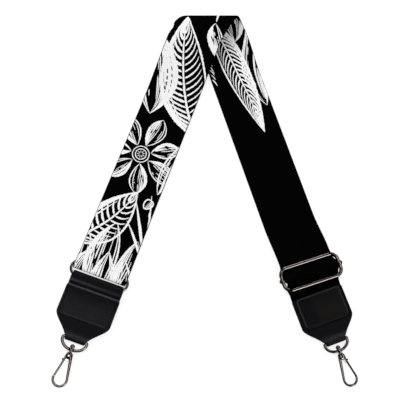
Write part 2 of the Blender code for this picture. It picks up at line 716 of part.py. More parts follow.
def make_hook(side, flip, holder):
    """Hook body, with its head at the top. The holder is on the swivel's axis."""
    points, wires, tip = bow_path(flip)
    hook = tube(f"{side}_hook", points, BOW_WIRE, holder, NICKEL, wires=wires)
    work = bmesh.new()
    bmesh.ops.create_cube(work, size=1)
    for vert in work.verts:
        width = HOOK_HEAD_TOP_WIDTH if vert.co.y > 0 else HOOK_HEAD_WIDTH
        vert.co.x *= width
        vert.co.y *= HOOK_HEAD_LENGTH
        vert.co.z *= HOOK_HEAD_DEPTH
    bmesh.ops.bevel(work, geom=work.edges, offset=HEAD_EDGE, segments=2, affect="EDGES", profile=0.5)
    centre = Matrix.Translation((0, -GAP - HOOK_HEAD_LENGTH / 2, 0))
    head = placed_mesh("head", work, centre, holder, NICKEL)
    combine(hook, head, "UNION")
    along = Matrix.Rotation(math.pi / 2, 4, "X")
    sink = SHANK_SINK + 2 * GAP
    centre = Matrix.Translation((0, (OVERRUN - sink) / 2, 0)) @ along
    bore = cylinder(f"{side}_shank_bore", SHANK_DIAMETER + 2 * GAP, sink + OVERRUN, centre, holder)
    combine(hook, bore, "DIFFERENCE")
    slot_top = PIN_AT - EYE_DIAMETER / 2 - 2 * GAP
    slot_x = (PIN_X - EYE_DIAMETER / 2 - SPRING_LEAF - 2 * GAP, HOOK_HEAD_WIDTH / 2 + OVERRUN)
    slot_size = (slot_x[1] - slot_x[0], OVERRUN + HOOK_HEAD_LENGTH + GAP - slot_top, SLOT_DEPTH)
    centre = Matrix.Translation(
        (flip * (slot_x[0] + slot_x[1]) / 2, -slot_top - slot_size[1] / 2, 0)
    )
    slot = box(f"{side}_gate_slot", slot_size, centre, holder)
    combine(hook, slot, "DIFFERENCE")
    centre = Matrix.Translation((flip * PIN_X, -PIN_AT, 0))
    pin_bore = cylinder(
        f"{side}_pin_bore", PIN_DIAMETER + 2 * GAP, HOOK_HEAD_DEPTH + OVERRUN, centre, holder
    )
    combine(hook, pin_bore, "DIFFERENCE")
    seat_y = -HOOK_LENGTH + BOW_WIRE - SEAT_DEPTH
    centre = Matrix.Translation((0, seat_y + BOW_WIRE / 2, 0))
    seat = box(f"{side}_ring_seat", (SEAT_LENGTH, BOW_WIRE, BOW_WIRE), centre, holder)
    combine(hook, seat, "DIFFERENCE")
    return tip


def make_gate(side, flip, tip, swivel):
    """Gate with its eye on the pin, its pin and the leaf spring behind it."""
    pin_place = (flip * PIN_X, -PIN_AT, 0)
    holder = empty_at(f"{side}_gate_axis", swivel, pin_place)
    reach = Vector((tip[0] - pin_place[0], tip[1] - pin_place[1], 0))
    length = reach.length - GAP
    along = reach.normalized()
    start = EYE_DIAMETER / 2 - GATE_WIRE / 2
    points = [along * at for at in spread(start, length, 4)]
    gate = tube(f"{side}_gate", points, GATE_WIRE, holder, NICKEL)
    eye = cylinder("eye", EYE_DIAMETER, GATE_DEPTH, Matrix.Identity(4), holder, NICKEL)
    combine(gate, eye, "UNION")
    outward = Vector((-along.y, along.x, 0)) * flip
    lug_at = along * (length * THUMB_AT_SHARE) + outward * (GATE_WIRE / 2)
    lug_size = (THUMB_DIAMETER, THUMB_DIAMETER, GATE_DEPTH)
    lug = ellipsoid("lug", lug_size, Matrix.Translation(lug_at), holder, NICKEL)
    combine(gate, lug, "UNION")
    bore = cylinder(
        f"{side}_eye_bore",
        PIN_DIAMETER + 2 * GAP,
        GATE_DEPTH + OVERRUN,
        Matrix.Identity(4),
        holder,
    )
    combine(gate, bore, "DIFFERENCE")
    pin = cylinder(
        f"{side}_gate_pin", PIN_DIAMETER, HOOK_HEAD_DEPTH, Matrix.Identity(4), swivel, NICKEL
    )
    pin.location = pin_place
    leaf_x = PIN_X - EYE_DIAMETER / 2 - GAP - SPRING_LEAF / 2
    root_y = -(PIN_AT - EYE_DIAMETER / 2)
    knee_y = -(HOOK_HEAD_LENGTH + GAP)
    foot = Vector(pin_place) + along * SPRING_REACH
    foot -= outward * (GATE_WIRE / 2 + GAP + SPRING_LEAF)
    shape = [(flip * leaf_x, root_y), (flip * leaf_x, knee_y), (foot.x, foot.y)]
    half = SPRING_WIDTH / 2
    rows = [[Vector((x, y, -half)), Vector((x, y, half))] for x, y in shape]
    sheet(f"{side}_gate_spring", rows, SPRING_LEAF, swivel, SPRING_STEEL)


def make_clasp(side, flip, length, holder):
    """D eye, swivel hook and gate, at the neck of the tab whose holder and length it gets."""
    d_axis = empty_at(f"{side}_d_axis", holder, (0, NECK_Z - length, NECK_Z))
    make_d_eye(side, d_axis)
    swivel = empty_at(f"{side}_swivel_axis", d_axis, (0, -BOSS_DROP, 0))
    make_rivet(side, swivel)
    tip = make_hook(side, flip, swivel)
    make_gate(side, flip, tip, swivel)


def make_left_leg(root):
    leg = empty_at("left_leg", root, (0, 0, 0), -LEFT_LEAN)
    make_ring_loop(leg)
    ring_axis = empty_at("ring_axis", leg, (0, -RING_BAR_AT, RING_Z))
    make_ring(ring_axis)
    hang = (LEFT_TAB_SHIFT, -RING_PITCH, 0)
    tab_axis = empty_at("left_tab_axis", ring_axis, hang, LEFT_TAB_TURN)
    frame = empty_at("left_tab_frame", tab_axis, (0, -LEFT_TAB_DROP, -RING_Z))
    make_tab("left", LEFT_TAB_LENGTH, 2 * (LOOP_LEATHER + GAP), LOOP_SEWN, frame)
    make_ring_leather(frame)
    make_clasp("left", -1, LEFT_TAB_LENGTH, frame)


def make_right_leg(root):
    leg = empty_at("right_leg", root, (RIGHT_LEG_X, 0, 0), RIGHT_LEAN)
    make_right_runs(leg)
    slider = empty_at("slider_axis", leg, (SLIDER_SHIFT, -SLIDER_AT, 0))
    make_slider(slider)
    make_bar_loop(slider)
    make_hump(slider)
    tab_top_at = SLIDER_AT + SLIDER_HEIGHT / 2 + RIGHT_TAB_DROP
    frame = empty_at("right_tab_frame", leg, (RIGHT_TAB_SHIFT, -tab_top_at, 0), RIGHT_TAB_TURN)
    make_tab("right", RIGHT_TAB_LENGTH, WEBBING_THICKNESS + GAP, WEBBING_SEWN, frame)
    make_webbing_end(frame)
    make_clasp("right", 1, RIGHT_TAB_LENGTH, frame)


def stand_on_origin(root):
    """Moves the whole strap so that the origin is under the middle of its box."""
    bpy.context.view_layer.update()
    graph = bpy.context.evaluated_depsgraph_get()
    corners = []
    for obj in PARTS.objects:
        if obj.type == "MESH":
            shown = obj.evaluated_get(graph)
            corners += [shown.matrix_world @ vert.co for vert in shown.data.vertices]
    low = [min(corner[axis] for corner in corners) for axis in range(3)]
    high = [max(corner[axis] for corner in corners) for axis in range(3)]
    root.location = (-(low[0] + high[0]) / 2, -(low[1] + high[1]) / 2, -low[2])


clear_scene()
PARTS = collection_named("detachable_bag_strap")
CUTTERS = collection_named("cutters")
strap = empty_at("bag_strap", None, (0, 0, 0))
make_webbing_layers(strap)
make_left_leg(strap)
make_right_leg(strap)
stand_on_origin(strap)
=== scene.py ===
"""Looks of the detachable bag strap: woven webbing with a white linocut print, black
leather tabs with their stitching, and polished nickel rings, slider and swivel hooks.

Lengths are in metres and angles in radians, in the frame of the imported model. A point of
a leg is given by its distance down from the fold's axis, its place across and its height.
"""

import json
import math
import random

import bmesh
import bpy
from mathutils import Matrix, Vector


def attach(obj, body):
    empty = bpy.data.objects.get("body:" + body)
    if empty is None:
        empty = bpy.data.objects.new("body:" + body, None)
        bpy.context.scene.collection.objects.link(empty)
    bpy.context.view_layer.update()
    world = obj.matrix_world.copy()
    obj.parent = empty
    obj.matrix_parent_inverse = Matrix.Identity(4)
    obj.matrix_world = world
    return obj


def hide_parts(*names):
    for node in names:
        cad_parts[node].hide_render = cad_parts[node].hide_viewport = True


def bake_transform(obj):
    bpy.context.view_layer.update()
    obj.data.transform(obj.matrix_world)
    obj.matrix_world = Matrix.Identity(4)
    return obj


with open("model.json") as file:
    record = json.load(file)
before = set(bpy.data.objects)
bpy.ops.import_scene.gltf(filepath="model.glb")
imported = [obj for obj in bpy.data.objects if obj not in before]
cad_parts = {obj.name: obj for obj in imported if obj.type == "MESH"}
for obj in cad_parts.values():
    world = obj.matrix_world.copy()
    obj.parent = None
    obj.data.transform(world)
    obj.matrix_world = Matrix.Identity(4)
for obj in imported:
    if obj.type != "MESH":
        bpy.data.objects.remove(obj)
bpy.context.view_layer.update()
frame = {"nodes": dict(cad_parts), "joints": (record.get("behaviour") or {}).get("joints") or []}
QUARTER = math.pi / 2

# Webbing and its fold
WEBBING_WIDTH = 0.050
WEBBING_THICKNESS = 0.0013
GAP = 0.0003
BEND_HEIGHT = 0.0216
LEFT_LEAN = math.radians(23.4)
RIGHT_LEAN = math.radians(15.1)
RIGHT_LEG_X = 0.0201
LEFT_DESCENT = 0.083
BEND_DRIFT = 0.0018
BEND_LEAD = 0.014
BEND_OVERRUN = 0.012
BOW_LENGTH = 0.040
CORNER_PULL = 0.0046
CORNER_WIDTH = 0.0065
CORNER_FADE = 0.014

# Stations down the legs
RING_BAR_AT = 0.2588
RING_FOLD_AT = 0.2669
RING_LOOP_FROM = 0.236
RUN_FROM = 0.095
SLIDER_AT = 0.2596
SLIDER_SHIFT = 0.0008
SLIDER_LIFT = 0.0030
WEBBING_DRIFT = 0.0009
WEBBING_SPREAD = 0.0010
SPREAD_TO_SHARE = 0.35  # of the slider's height, each way from its centre bar
SPREAD_FADE_SHARE = 0.25
RIDE_LENGTH = 0.0540
BAR_LOOP_TAIL = 0.018
TAB_NECK_AT = 0.3282
WEBBING_END_AT = 0.3050

# Ring and slider
RING_LENGTH = 0.0558
RING_HEIGHT = 0.0162
RING_WIRE = 0.0024
SLIDER_LENGTH = 0.0604
SLIDER_HEIGHT = 0.0246
SLIDER_WIRE = 0.0034
SLIDER_CORNER = 0.0068
BEAD_LENGTH = 0.0058
BEAD_OUT = 0.0002
BEAD_WIDTH = 0.0050
BEAD_DEPTH = 0.0058
HUMP_SIDE_ANGLE = math.radians(60)
HUMP_FOOT_RADIUS = 0.0020

# Leather tabs
LEATHER = 0.0013
NECK_WIDTH = 0.0185
TAPER_LENGTH = 0.0222
TAPER_POWER = 0.93
LEFT_TAB_TOP_AT = 0.2808
RIGHT_TAB_TOP_AT = 0.2788
SHOULDER_RISE = 0.020
TAB_TOP_CORNER = 0.0020
LOOP_LEATHER = 0.0010
LOOP_WIDTH = 0.0490
LOOP_TOP_AT = 0.2680
LOOP_END_AT = 0.3050
LOOP_CORNER = 0.0008
LEFT_TAB_SHIFT = 0.0009
LEFT_TAB_TURN = math.radians(0.7)
RIGHT_TAB_SHIFT = 0.0006
RIGHT_TAB_TURN = math.radians(1.3)
PANEL_WIDTH = 0.0435  # of the raised panel on the right tab
PANEL_FROM = 0.0003  # below the tab's top edge
PANEL_LENGTH = 0.0286
PANEL_CORNER = 0.0030
PANEL_RISE = 0.00045
PANEL_EDGE = 0.0009
PANEL_GROOVE = 0.00022
GROOVE_AT_SHARE = 0.3  # of the panel's edge
GROOVE_WIDTH_SHARE = 0.5
RIDGE_AT = 0.3081  # on the left tab, over the end of what is sewn inside
RIDGE_RISE = 0.00040
RIDGE_WIDTH = 0.0009
RIDGE_END_IN = 0.006  # from the tab's side
RIDGE_END_FADE = 0.003
LIP_RISE = 0.00030  # along the left tab's top edge
LIP_IN = 0.0016
LIP_WIDTH = 0.0010
STITCH_PITCH = 0.0030
STITCH_LENGTH = 0.0022
STITCH_WIDTH = 0.00055
STITCH_INSET = 0.0026
STITCH_TOP_SHARE = 0.8  # of the inset, at the tab's top
STITCH_END_SHARE = 0.7  # of the thread's width, where it dives in
STITCH_DIVE_SHARE = 0.3
STITCH_BELOW_RIDGE_SHARE = 1.4  # of the ridge's width

# Painted highlights and painted light on the leather, and a warmer, lighter patch on the right tab's
# panel. A pair is where a mark lies or starts and how wide it is.
PANEL_LIP = (-0.0006, 0.0006)  # from the panel's outline
PANEL_LIP_HIGHLIGHT = 0.42
PANEL_LIP_END = (-0.0030, 0.0020)  # from the panel's foot
TAPER_FROM = (0.0015, 0.0010)
TAPER_PAINTED_LIGHT = 0.03
RIGHT_NECK_CREASE = (0.3225, 0.0022)
RIGHT_NECK_HIGHLIGHT = 0.25
PANEL_WARM_FADE = (-0.0020, 0.0020)
PANEL_WARM_ACROSS = (-0.012, 0.009)
PANEL_WARM_DOWN = (0.284, 0.012)
PANEL_WARM_TOP_SHARE = 0.45
PANEL_WARM_FOOT = (-0.0018, 0.0012)
PANEL_WARM_SIDE = (0.016, 0.004)
PANEL_WARM = (0.05, 0.27)  # least and most
LEFT_LIP = (0.2815, 0.0008)
LEFT_LIP_HIGHLIGHT = 0.75
RIDGE_LINE = (RIDGE_AT - 0.0006, 0.0008)
RIDGE_LINE_HIGHLIGHT = 0.14
LEFT_FACE = (0.2825, 0.016)
LEFT_FACE_PAINTED_LIGHT = (0.02, 0.13)
LEFT_TAPER = (RIDGE_AT, 0.001)
LEFT_TAPER_PAINTED_LIGHT = 0.035
LEFT_NECK_CREASE = (0.3235, 0.0022)
LEFT_NECK_HIGHLIGHT = 0.30
LOOP_FOLD = (0.2705, 0.0010)
LOOP_FOLD_HIGHLIGHT = 0.07
LOOP_BULGE = (0.2768, 0.0011)
LOOP_BULGE_HIGHLIGHT = 0.36
LOOP_BULGE_SLOPE = 6  # painted highlight lost per metre across, which leaves one side lighter
LOOP_PAINTED_LIGHT = 0.02

# D eye and hook
D_WIDTH = 0.0250
D_DEPTH = 0.0124
D_WIRE = 0.0026
D_CORNER = 0.0015
BOSS_DIAMETER = 0.0050
BOSS_LENGTH = 0.0031
BOSS_EDGE = 0.0005
SHANK_DIAMETER = 0.0022
RIVET_HEAD = 0.0042
HEAD_FLAT = 0.72
HOOK_LENGTH = 0.0320
BOW_WIDTH = 0.0142
HOOK_HEAD_TOP_WIDTH = 0.0044
HOOK_HEAD_WIDTH = 0.0076
HOOK_HEAD_LENGTH = 0.0068
HOOK_HEAD_DEPTH = 0.0052
HEAD_SQUARENESS = 0.72  # 1 for an ellipsoid, and lower for a squarer head
SHANK_SINK = 0.0026
SPINE_WIRE = 0.0028
BOW_WIRE = 0.0021
SPINE_FROM = 0.0020
SPINE_X = 0.0016
PIN_DIAMETER = 0.0012
PIN_X = 0.0022
PIN_AT = 0.0056
PIN_EDGE = 0.0002
EYE_DIAMETER = 0.0025
GATE_DEPTH = 0.0018
GATE_WIRE = 0.0018
SLOT_DEPTH = 0.0024
SPRING_LEAF = 0.0003
SPRING_WIDTH = 0.0014
SPRING_REACH = 0.0050
THUMB_DIAMETER = 0.0021
THUMB_AT_SHARE = 0.16  # of the gate's length
OVERRUN = 0.002  # of a cutter past what it cuts

# Print
INK_HEIGHT = 0.00005
INK_LEVELS = 24  # heights in turn, so that strokes that cross don't lie in one plane
INK_STEP = 0.0011
INK_STEP_ROUND_RING = 0.0004
INK_EDGE = 0.0006  # bare selvedge beside the print
INK_RAGGED = (0.72, 1.22)
INK_TIP_SHARE = 0.15  # of a stroke's width
INK_LEAST_AREA = 1e-10
INK_SEED = 5
PRINT_END_AT = 0.130  # down the right leg
MM = 0.001

# Colours, with the dark and the light of what varies
BLACK_YARN = (0.0003, 0.0003, 0.0004), (0.0035, 0.0035, 0.0038)
WHITE_YARN = (0.72, 0.72, 0.72), (0.95, 0.95, 0.95)
BLACK_THREAD = (0.0006, 0.0006, 0.0006), (0.0030, 0.0030, 0.0032)
BLACK_LEATHER = (0.0010, 0.0010, 0.0014), (0.0022, 0.0022, 0.0030)
# The colour of painted highlights and painted light on the leather
PAINTED_HIGHLIGHT_LEATHER = (0.060, 0.060, 0.066)
# A warmer, lighter tone for a patch on the right tab's panel
WARMER_LEATHER = (0.016, 0.0145, 0.0120)
NICKEL_COLOUR = (0.040, 0.034, 0.0325)
STEEL_COLOUR = (0.45, 0.44, 0.43)
BOARD_COLOURS = (0.045, 0.038, 0.032), (0.085, 0.070, 0.060)
BLACK = (0, 0, 0)
WHITE = (1, 1, 1)

# Textures. Scales are per metre, and a bump is its height and its strength.
WARP_PITCH = 0.0011
WEFT_PITCH = 0.0009
YARN_FUZZ = {"Scale": 900.0, "Detail": 3.0}
LEATHER_GRAIN = {"Scale": 1500.0}
LEATHER_FOLDS = {"Scale": 420.0, "Detail": 6.0, "Roughness": 0.6}
LEATHER_PATCHES = {"Scale": 60.0, "Detail": 3.0}
METAL_WEAR = {"Scale": 300.0, "Detail": 4.0}
BOARD_FIBRES = {"Scale": 700.0, "Detail": 5.0, "Distortion": 1.5}
YARN_BUMP = (0.00012, 0.5)
LEATHER_BUMP = (0.00006, 0.45)
METAL_BUMP = (0.00003, 0.15)
BOARD_BUMP = (0.00010, 0.5)
YARN_FUZZ_SHARE = 0.5  # of the weave's height
MARK_BASE = 0.45  # added to the folds, which break up the painted highlights and the warm patch
YARN_ROUGHNESS = 0.88
LEATHER_ROUGHNESS = (0.34, 0.52)
LEATHER_SPECULAR = 0.0125
BOARD_ROUGHNESS = 0.9
NICKEL_ROUGHNESS = 0.05
STEEL_ROUGHNESS = 0.28
METAL_ROUGHNESS_SHARES = (0.7, 1.5)

# Camera, measured from the fold's axis
CAMERA_PLACE = Vector((-0.08463, -0.34436, 0.63711))
CAMERA_TURNS = (-0.0642, -0.1121, 0.2530)
CAMERA_LENS = 60.6
SENSOR_WIDTH = 36.0

# Floor and lamps
FLOOR_SIZE = 6.0
FLOOR_COLOUR = (0.30, 0.30, 0.30)
FLOOR_SEEN = (0.76, 0.76, 0.76)
FLOOR_ROUGHNESS = 0.9
KEY_PLACE = Vector((-0.9, 0.9, 1.3))
KEY_SIZE = 0.8
KEY_WATTS = 14
FILL_PLACE = Vector((1.1, 0.2, 1.2))
FILL_SIZE = 1.0
FILL_WATTS = 6

# The studio that gloss sees, by direction. A lamp fades in over the first two numbers and
# out over the last two. The bar lamps are turned to face the slider's bars.
BAR_TURN = (0.95, 0.31)  # cosine and sine
BAR_LAMPS_BACK = 0.14
BAR_LAMPS_OFF = (0.68, 0.74, 0.98, 1.04)
BAR_LAMPS_ALONG = (0.00, 0.06, 0.32, 0.40)
SIDE_LAMP_X = (0.42, 0.48, 0.64, 0.72)
SIDE_LAMP_SHARE = 0.25
TOP_LAMP_X = (-0.22, -0.17, 0.00, 0.05)
TOP_LAMP_Y = (-0.14, -0.09, 0.08, 0.13)
LAMPS_FROM_Z = (0.16, 0.24)
STUDIO_DARK = (0.13, 0.092, 0.080)
STUDIO_LIGHT = (32.0, 31.0, 31.0)
DULL_LIGHT = (0.75, 0.75, 0.75)

# Fineness
FLAT_STEP = 0.0020
BEND_STEP = 0.0008
TAB_STEP = 0.0004
ARC_STEPS = 16
WIRE_ARC_STEPS = 32
WIRE_RESOLUTION = 6
CORNER_STEPS = 8
RIVET_STEPS = 24
SPINE_STEPS = 12
GATE_STEPS = 8
ROUND_SIDES = 48
BEVEL_SEGMENTS = 3
BAND_COLUMNS = 24
TAB_COLUMNS = 110
LOOP_COLUMNS = 60
SPRING_COLUMNS = 4
BAND_EDGE_STEPS = 4
BAND_END_ROWS = 3
STITCH_SIDES = 8
STITCH_STEPS = 6
BAND_SMOOTH_ANGLE = math.radians(40)
METAL_SMOOTH_ANGLE = math.radians(30)
SLOPE_STEP_SHARE = 0.01  # of the bend's radius
SAME_PLACE_SHARE = 0.01  # of a wire's diameter
WELD_DISTANCE = 3e-7

# Derived
LAYER_STEP = WEBBING_THICKNESS + GAP
DOUBLE_WEBBING = WEBBING_THICKNESS + LAYER_STEP
LAYER_MID = LAYER_STEP / 2
REST_Z = DOUBLE_WEBBING / 2
BEND_RADIUS = (BEND_HEIGHT - DOUBLE_WEBBING) / 2
BEND_LENGTH = math.pi * BEND_RADIUS
SLOPE_STEP = BEND_RADIUS * SLOPE_STEP_SHARE
LOWER_Z = WEBBING_THICKNESS / 2
UPPER_Z = LOWER_Z + LAYER_STEP
RING_Z = WEBBING_THICKNESS + GAP + RING_WIRE / 2
RING_PITCH = RING_HEIGHT - RING_WIRE
RIDE_FROM = SLIDER_AT - RIDE_LENGTH
SLIDER_Z = WEBBING_THICKNESS + 2 * LAYER_STEP + GAP + SLIDER_WIRE / 2 + SLIDER_LIFT
NECK_RADIUS = D_WIRE / 2 + GAP + LEATHER / 2
NECK_Z = NECK_RADIUS + LEATHER / 2
FRONT_FROM_Z = 0.9 * NECK_Z
D_BAR_AT = TAB_NECK_AT - NECK_Z
D_REACH = D_DEPTH - D_WIRE
BOSS_AT = D_BAR_AT + D_REACH + D_WIRE / 2 - BOSS_LENGTH / 2
BOSS_END_AT = BOSS_AT + BOSS_LENGTH / 2
NECK_CLEAR = D_WIDTH / 2 - D_WIRE - GAP
PANEL_FOOT_AT = RIGHT_TAB_TOP_AT + PANEL_FROM + PANEL_LENGTH


def moved(x, y, z=0.0):
    return Matrix.Translation((x, y, z))


def turned(angle, axis):
    return Matrix.Rotation(angle, 4, axis)


# Frames of the legs and tabs, from the ring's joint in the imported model
ring_joint = next(joint for joint in frame["joints"] if joint["name"] == "ring_swing")
FOLD = Vector(ring_joint["pos_m"]) - Vector((0, 0, RING_Z))
FOLD += RING_BAR_AT * Vector((math.sin(LEFT_LEAN), math.cos(LEFT_LEAN), 0))
LEFT_LEG = moved(*FOLD) @ turned(-LEFT_LEAN, "Z")
RIGHT_LEG = moved(*(FOLD + Vector((RIGHT_LEG_X, 0, 0)))) @ turned(RIGHT_LEAN, "Z")
RING_FRAME = LEFT_LEG @ moved(0, -RING_BAR_AT, RING_Z)
SLIDER_FRAME = RIGHT_LEG @ moved(SLIDER_SHIFT, -SLIDER_AT, SLIDER_Z)
LEFT_TAB = RING_FRAME @ moved(LEFT_TAB_SHIFT, -RING_PITCH) @ turned(LEFT_TAB_TURN, "Z")
LEFT_TAB = LEFT_TAB @ moved(0, RING_BAR_AT + RING_PITCH, -RING_Z)
RIGHT_TAB = RIGHT_LEG @ moved(RIGHT_TAB_SHIFT, -RIGHT_TAB_TOP_AT) @ turned(RIGHT_TAB_TURN, "Z")
RIGHT_TAB = RIGHT_TAB @ moved(0, RIGHT_TAB_TOP_AT)


# Curves and surfaces


def ease(share):
    share = min(max(share, 0), 1)
    return share * share * (3 - 2 * share)


def eased(value, start, width):
    """From 0 to 1 as the value passes through a width from start."""
    return ease((value - start) / width)


def peak(value, middle, width):
    return math.exp(-(((value - middle) / width) ** 2))


def mid(a, b, share):
    return a + (b - a) * share


def between(near, far, share):
    return (mid(near[0], far[0], share), mid(near[1], far[1], share))


def arc(centre, radius, start, turn, steps):
    angles = [start + turn * step / steps for step in range(steps + 1)]
    return [(centre[0] + radius * math.cos(a), centre[1] + radius * math.sin(a)) for a in angles]


def spread(start, end, steps):
    return [start + (end - start) * step / steps for step in range(steps + 1)]


def paced(start, end, step):
    return spread(start, end, max(math.ceil(abs(end - start) / step), 1))


def strap_axis(v):
    """X of the webbing's centre line. v runs along the fold's outline in the YZ plane."""
    left, right = math.tan(LEFT_LEAN), math.tan(RIGHT_LEAN)
    past = v - BEND_LENGTH
    if v <= -BEND_LEAD:
        return v * left
    if past >= BEND_OVERRUN:
        fade = 1 - eased(past, BEND_OVERRUN, BOW_LENGTH)
        return RIGHT_LEG_X + past * right + BEND_DRIFT * fade
    span = BEND_LEAD + BEND_LENGTH + BEND_OVERRUN
    start = -BEND_LEAD * left
    end = RIGHT_LEG_X + BEND_OVERRUN * right + BEND_DRIFT
    t = (v + BEND_LEAD) / span
    return mid(start, end, ease(t)) + span * (left * t * (1 - t) ** 2 - right * t * t * (1 - t))


def strap_heading(v):
    rise = strap_axis(v + SLOPE_STEP) - strap_axis(v - SLOPE_STEP)
    return math.atan(rise / (2 * SLOPE_STEP))


def fold_outline(v):
    if v > BEND_LENGTH:
        return BEND_LENGTH - v, REST_Z
    if v >= 0:
        turn = v / BEND_RADIUS
        return BEND_RADIUS * math.sin(turn), BEND_HEIGHT / 2 + BEND_RADIUS * math.cos(turn)
    return v, REST_Z + 2 * BEND_RADIUS * (1 - ease(-v / LEFT_DESCENT))


def corner_pull(v, across):
    sideways = max(-across - WEBBING_WIDTH / 2 + CORNER_WIDTH, 0) / CORNER_WIDTH
    before = eased(v, -CORNER_FADE, CORNER_FADE)
    return CORNER_PULL * sideways * sideways * (before - eased(v, BEND_LENGTH, CORNER_FADE))


def middle_point(v, across):
    heading = strap_heading(v)
    wrapped = v - across * math.sin(heading)
    y, z = fold_outline(wrapped)
    x = strap_axis(v) + across * math.cos(heading)
    return Vector((x, y - corner_pull(wrapped, across), z))


class FoldRow:
    """One crosswise row of the webbing on the fold, in its inner or outer layer."""

    def __init__(self, v, layer):
        self.v = v
        self.layer = layer

    def at(self, across, height):
        v, step = self.v, SLOPE_STEP
        along = middle_point(v + step, across) - middle_point(v - step, across)
        sideways = middle_point(v, across + step) - middle_point(v, across - step)
        out = sideways.cross(along).normalized()
        return FOLD + middle_point(v, across) + out * self.layer * (LAYER_MID + height)


class LegRow:
    """One crosswise row of a band along a leg, at a distance down and a height. out holds
    the outward direction of the band there, as (down, up)."""

    def __init__(self, place, down, z, out):
        self.place = place
        self.down = down
        self.z = z
        self.out = out

    def at(self, across, height):
        down = self.down + height * self.out[0]
        return self.place @ Vector((across, -down, self.z + height * self.out[1]))


def leg_rows(place, outline, side=1):
    """Rows along an outline of (down, z). side is 1 where the band's outer face is to the
    right of its path, seen with down to the right and up above, and -1 to the left."""
    rows = []
    for index, (down, z) in enumerate(outline):
        before = outline[max(index - 1, 0)]
        after = outline[min(index + 1, len(outline) - 1)]
        run, rise = after[0] - before[0], after[1] - before[1]
        size = math.hypot(run, rise)
        rows.append(LegRow(place, down, z, (side * rise / size, -side * run / size)))
    return rows


def thinned(points, least):
    kept = [points[0]]
    for point in points[1:]:
        if math.dist(point, kept[-1]) > least:
            kept.append(point)
    return kept


def subdivided(outline, step):
    """The outline with points added, so that none are further apart than the step."""
    points = [outline[0]]
    for a, b in zip(outline, outline[1:]):
        size = math.dist(a, b)
        points += [between(a, b, run / size) for run in paced(0, size, step)[1:]]
    return points


def linked(name, data):
    made = bpy.data.objects.new(name, data)
    bpy.context.scene.collection.objects.link(made)
    return made


def shade_round(obj, angle=BAND_SMOOTH_ANGLE):
    obj.data.shade_smooth()
    obj.data.set_sharp_from_angle(angle=angle)


def add_mesh(name, verts, faces, look, uvs=None):
    mesh = bpy.data.meshes.new(name)
    mesh.from_pydata([tuple(vert) for vert in verts], [], faces)
    if uvs:
        layer = mesh.uv_layers.new(name="UVMap")
        for loop in mesh.loops:
            layer.data[loop.index].uv = uvs[loop.vertex_index]
    mesh.validate()
    mesh.materials.append(look)
    mesh.shade_smooth()
    return linked(name, mesh)


def band(name, rows, half, thickness, look, columns, relief=None, round_ends=False, marks=None):
    """A closed band of even thickness with rounded edges, whose middle follows the rows.
    half is a number or a function of the row; relief adds height to the outer face, and
    marks gives the painted highlights and the warm patch there, each from 0 to 1, which the
    leather reads."""
    edge = thickness / 2
    rounding = [QUARTER * share for share in spread(1, -1, BAND_EDGE_STEPS)][1:-1]
    verts, uvs, faces, marked = [], [], [], []
    run = 0.0
    previous = rows[0].at(0, 0)
    last = len(rows) - 1
    for index, row in enumerate(rows):
        centre = row.at(0, 0)
        run += (centre - previous).length
        previous = centre
        wide = half(row) if callable(half) else half
        scale = 1.0
        if round_ends:
            near_end = min(index + 1, last - index + 1, BAND_END_ROWS)
            scale = math.sin(QUARTER * near_end / BAND_END_ROWS)
        flat = spread(-(wide - edge), wide - edge, columns)
        sides = [(wide - edge + edge * math.cos(a), edge * scale * math.sin(a)) for a in rounding]
        ring = [(n, edge * scale + (relief(row, n) if relief else 0)) for n in flat]
        ring += sides
        ring += [(n, -edge * scale) for n in reversed(flat)]
        ring += [(-n, -h) for n, h in sides]
        verts += [row.at(n, h) for n, h in ring]
        uvs += [(n, run) for n, h in ring]
        if marks:
            marked += [marks(row, n) if h > 0 else (0.0, 0.0) for n, h in ring]
    size = len(verts) // len(rows)
    for start in range(0, last * size, size):
        for k in range(size):
            after = (k + 1) % size
            faces.append((start + k, start + after, start + size + after, start + size + k))
    faces.append(tuple(reversed(range(size))))
    faces.append(tuple(range(last * size, last * size + size)))
    made = add_mesh(name, verts, faces, look, uvs)
    if marks:
        # The painted highlights and the warm patch, kept as attributes
        for kind, values in zip(("wear_and_painted_highlight", "warm_patch"), zip(*marked)):
            layer = made.data.attributes.new(kind, "FLOAT", "POINT")
            layer.data.foreach_set("value", values)
    work = bmesh.new()
    work.from_mesh(made.data)
    bmesh.ops.recalc_face_normals(work, faces=work.faces)
    work.to_mesh(made.data)
    work.free()
    shade_round(made)
    return made


# Materials


def put(look, inputs, **values):
    """Sets sockets by name, with _ for a space, to a value, a colour or a node's output."""
    for name, value in values.items():
        socket = inputs[name.replace("_", " ")]
        if isinstance(value, bpy.types.NodeSocket):
            look.node_tree.links.new(value, socket)
        else:
            socket.default_value = (*value, 1) if isinstance(value, tuple) else value


def material(name, **values):
    made = bpy.data.materials.new(name)
    made.use_nodes = True
    dress(made, **values)
    return made


def dress(look, **values):
    put(look, look.node_tree.nodes["Principled BSDF"].inputs, **values)


def node(look, kind, **values):
    made = look.node_tree.nodes.new(kind)
    put(look, made.inputs, **values)
    return made


def maths(look, operation, first, *others):
    """The operation on two values, or on more in turn. Each is a number or an output."""
    for other in others or [0.0]:
        made = look.node_tree.nodes.new("ShaderNodeMath")
        made.operation = operation
        for socket, value in zip(made.inputs, (first, other)):
            if isinstance(value, bpy.types.NodeSocket):
                look.node_tree.links.new(value, socket)
            else:
                socket.default_value = value
        first = made.outputs[0]
    return first


def mixed(look, share, first, second):
    """A colour between two, each a colour or another node's output."""
    made = look.node_tree.nodes.new("ShaderNodeMix")
    made.data_type = "RGBA"
    put(look, made.inputs, Factor=share, A=first, B=second)
    return made.outputs["Result"]


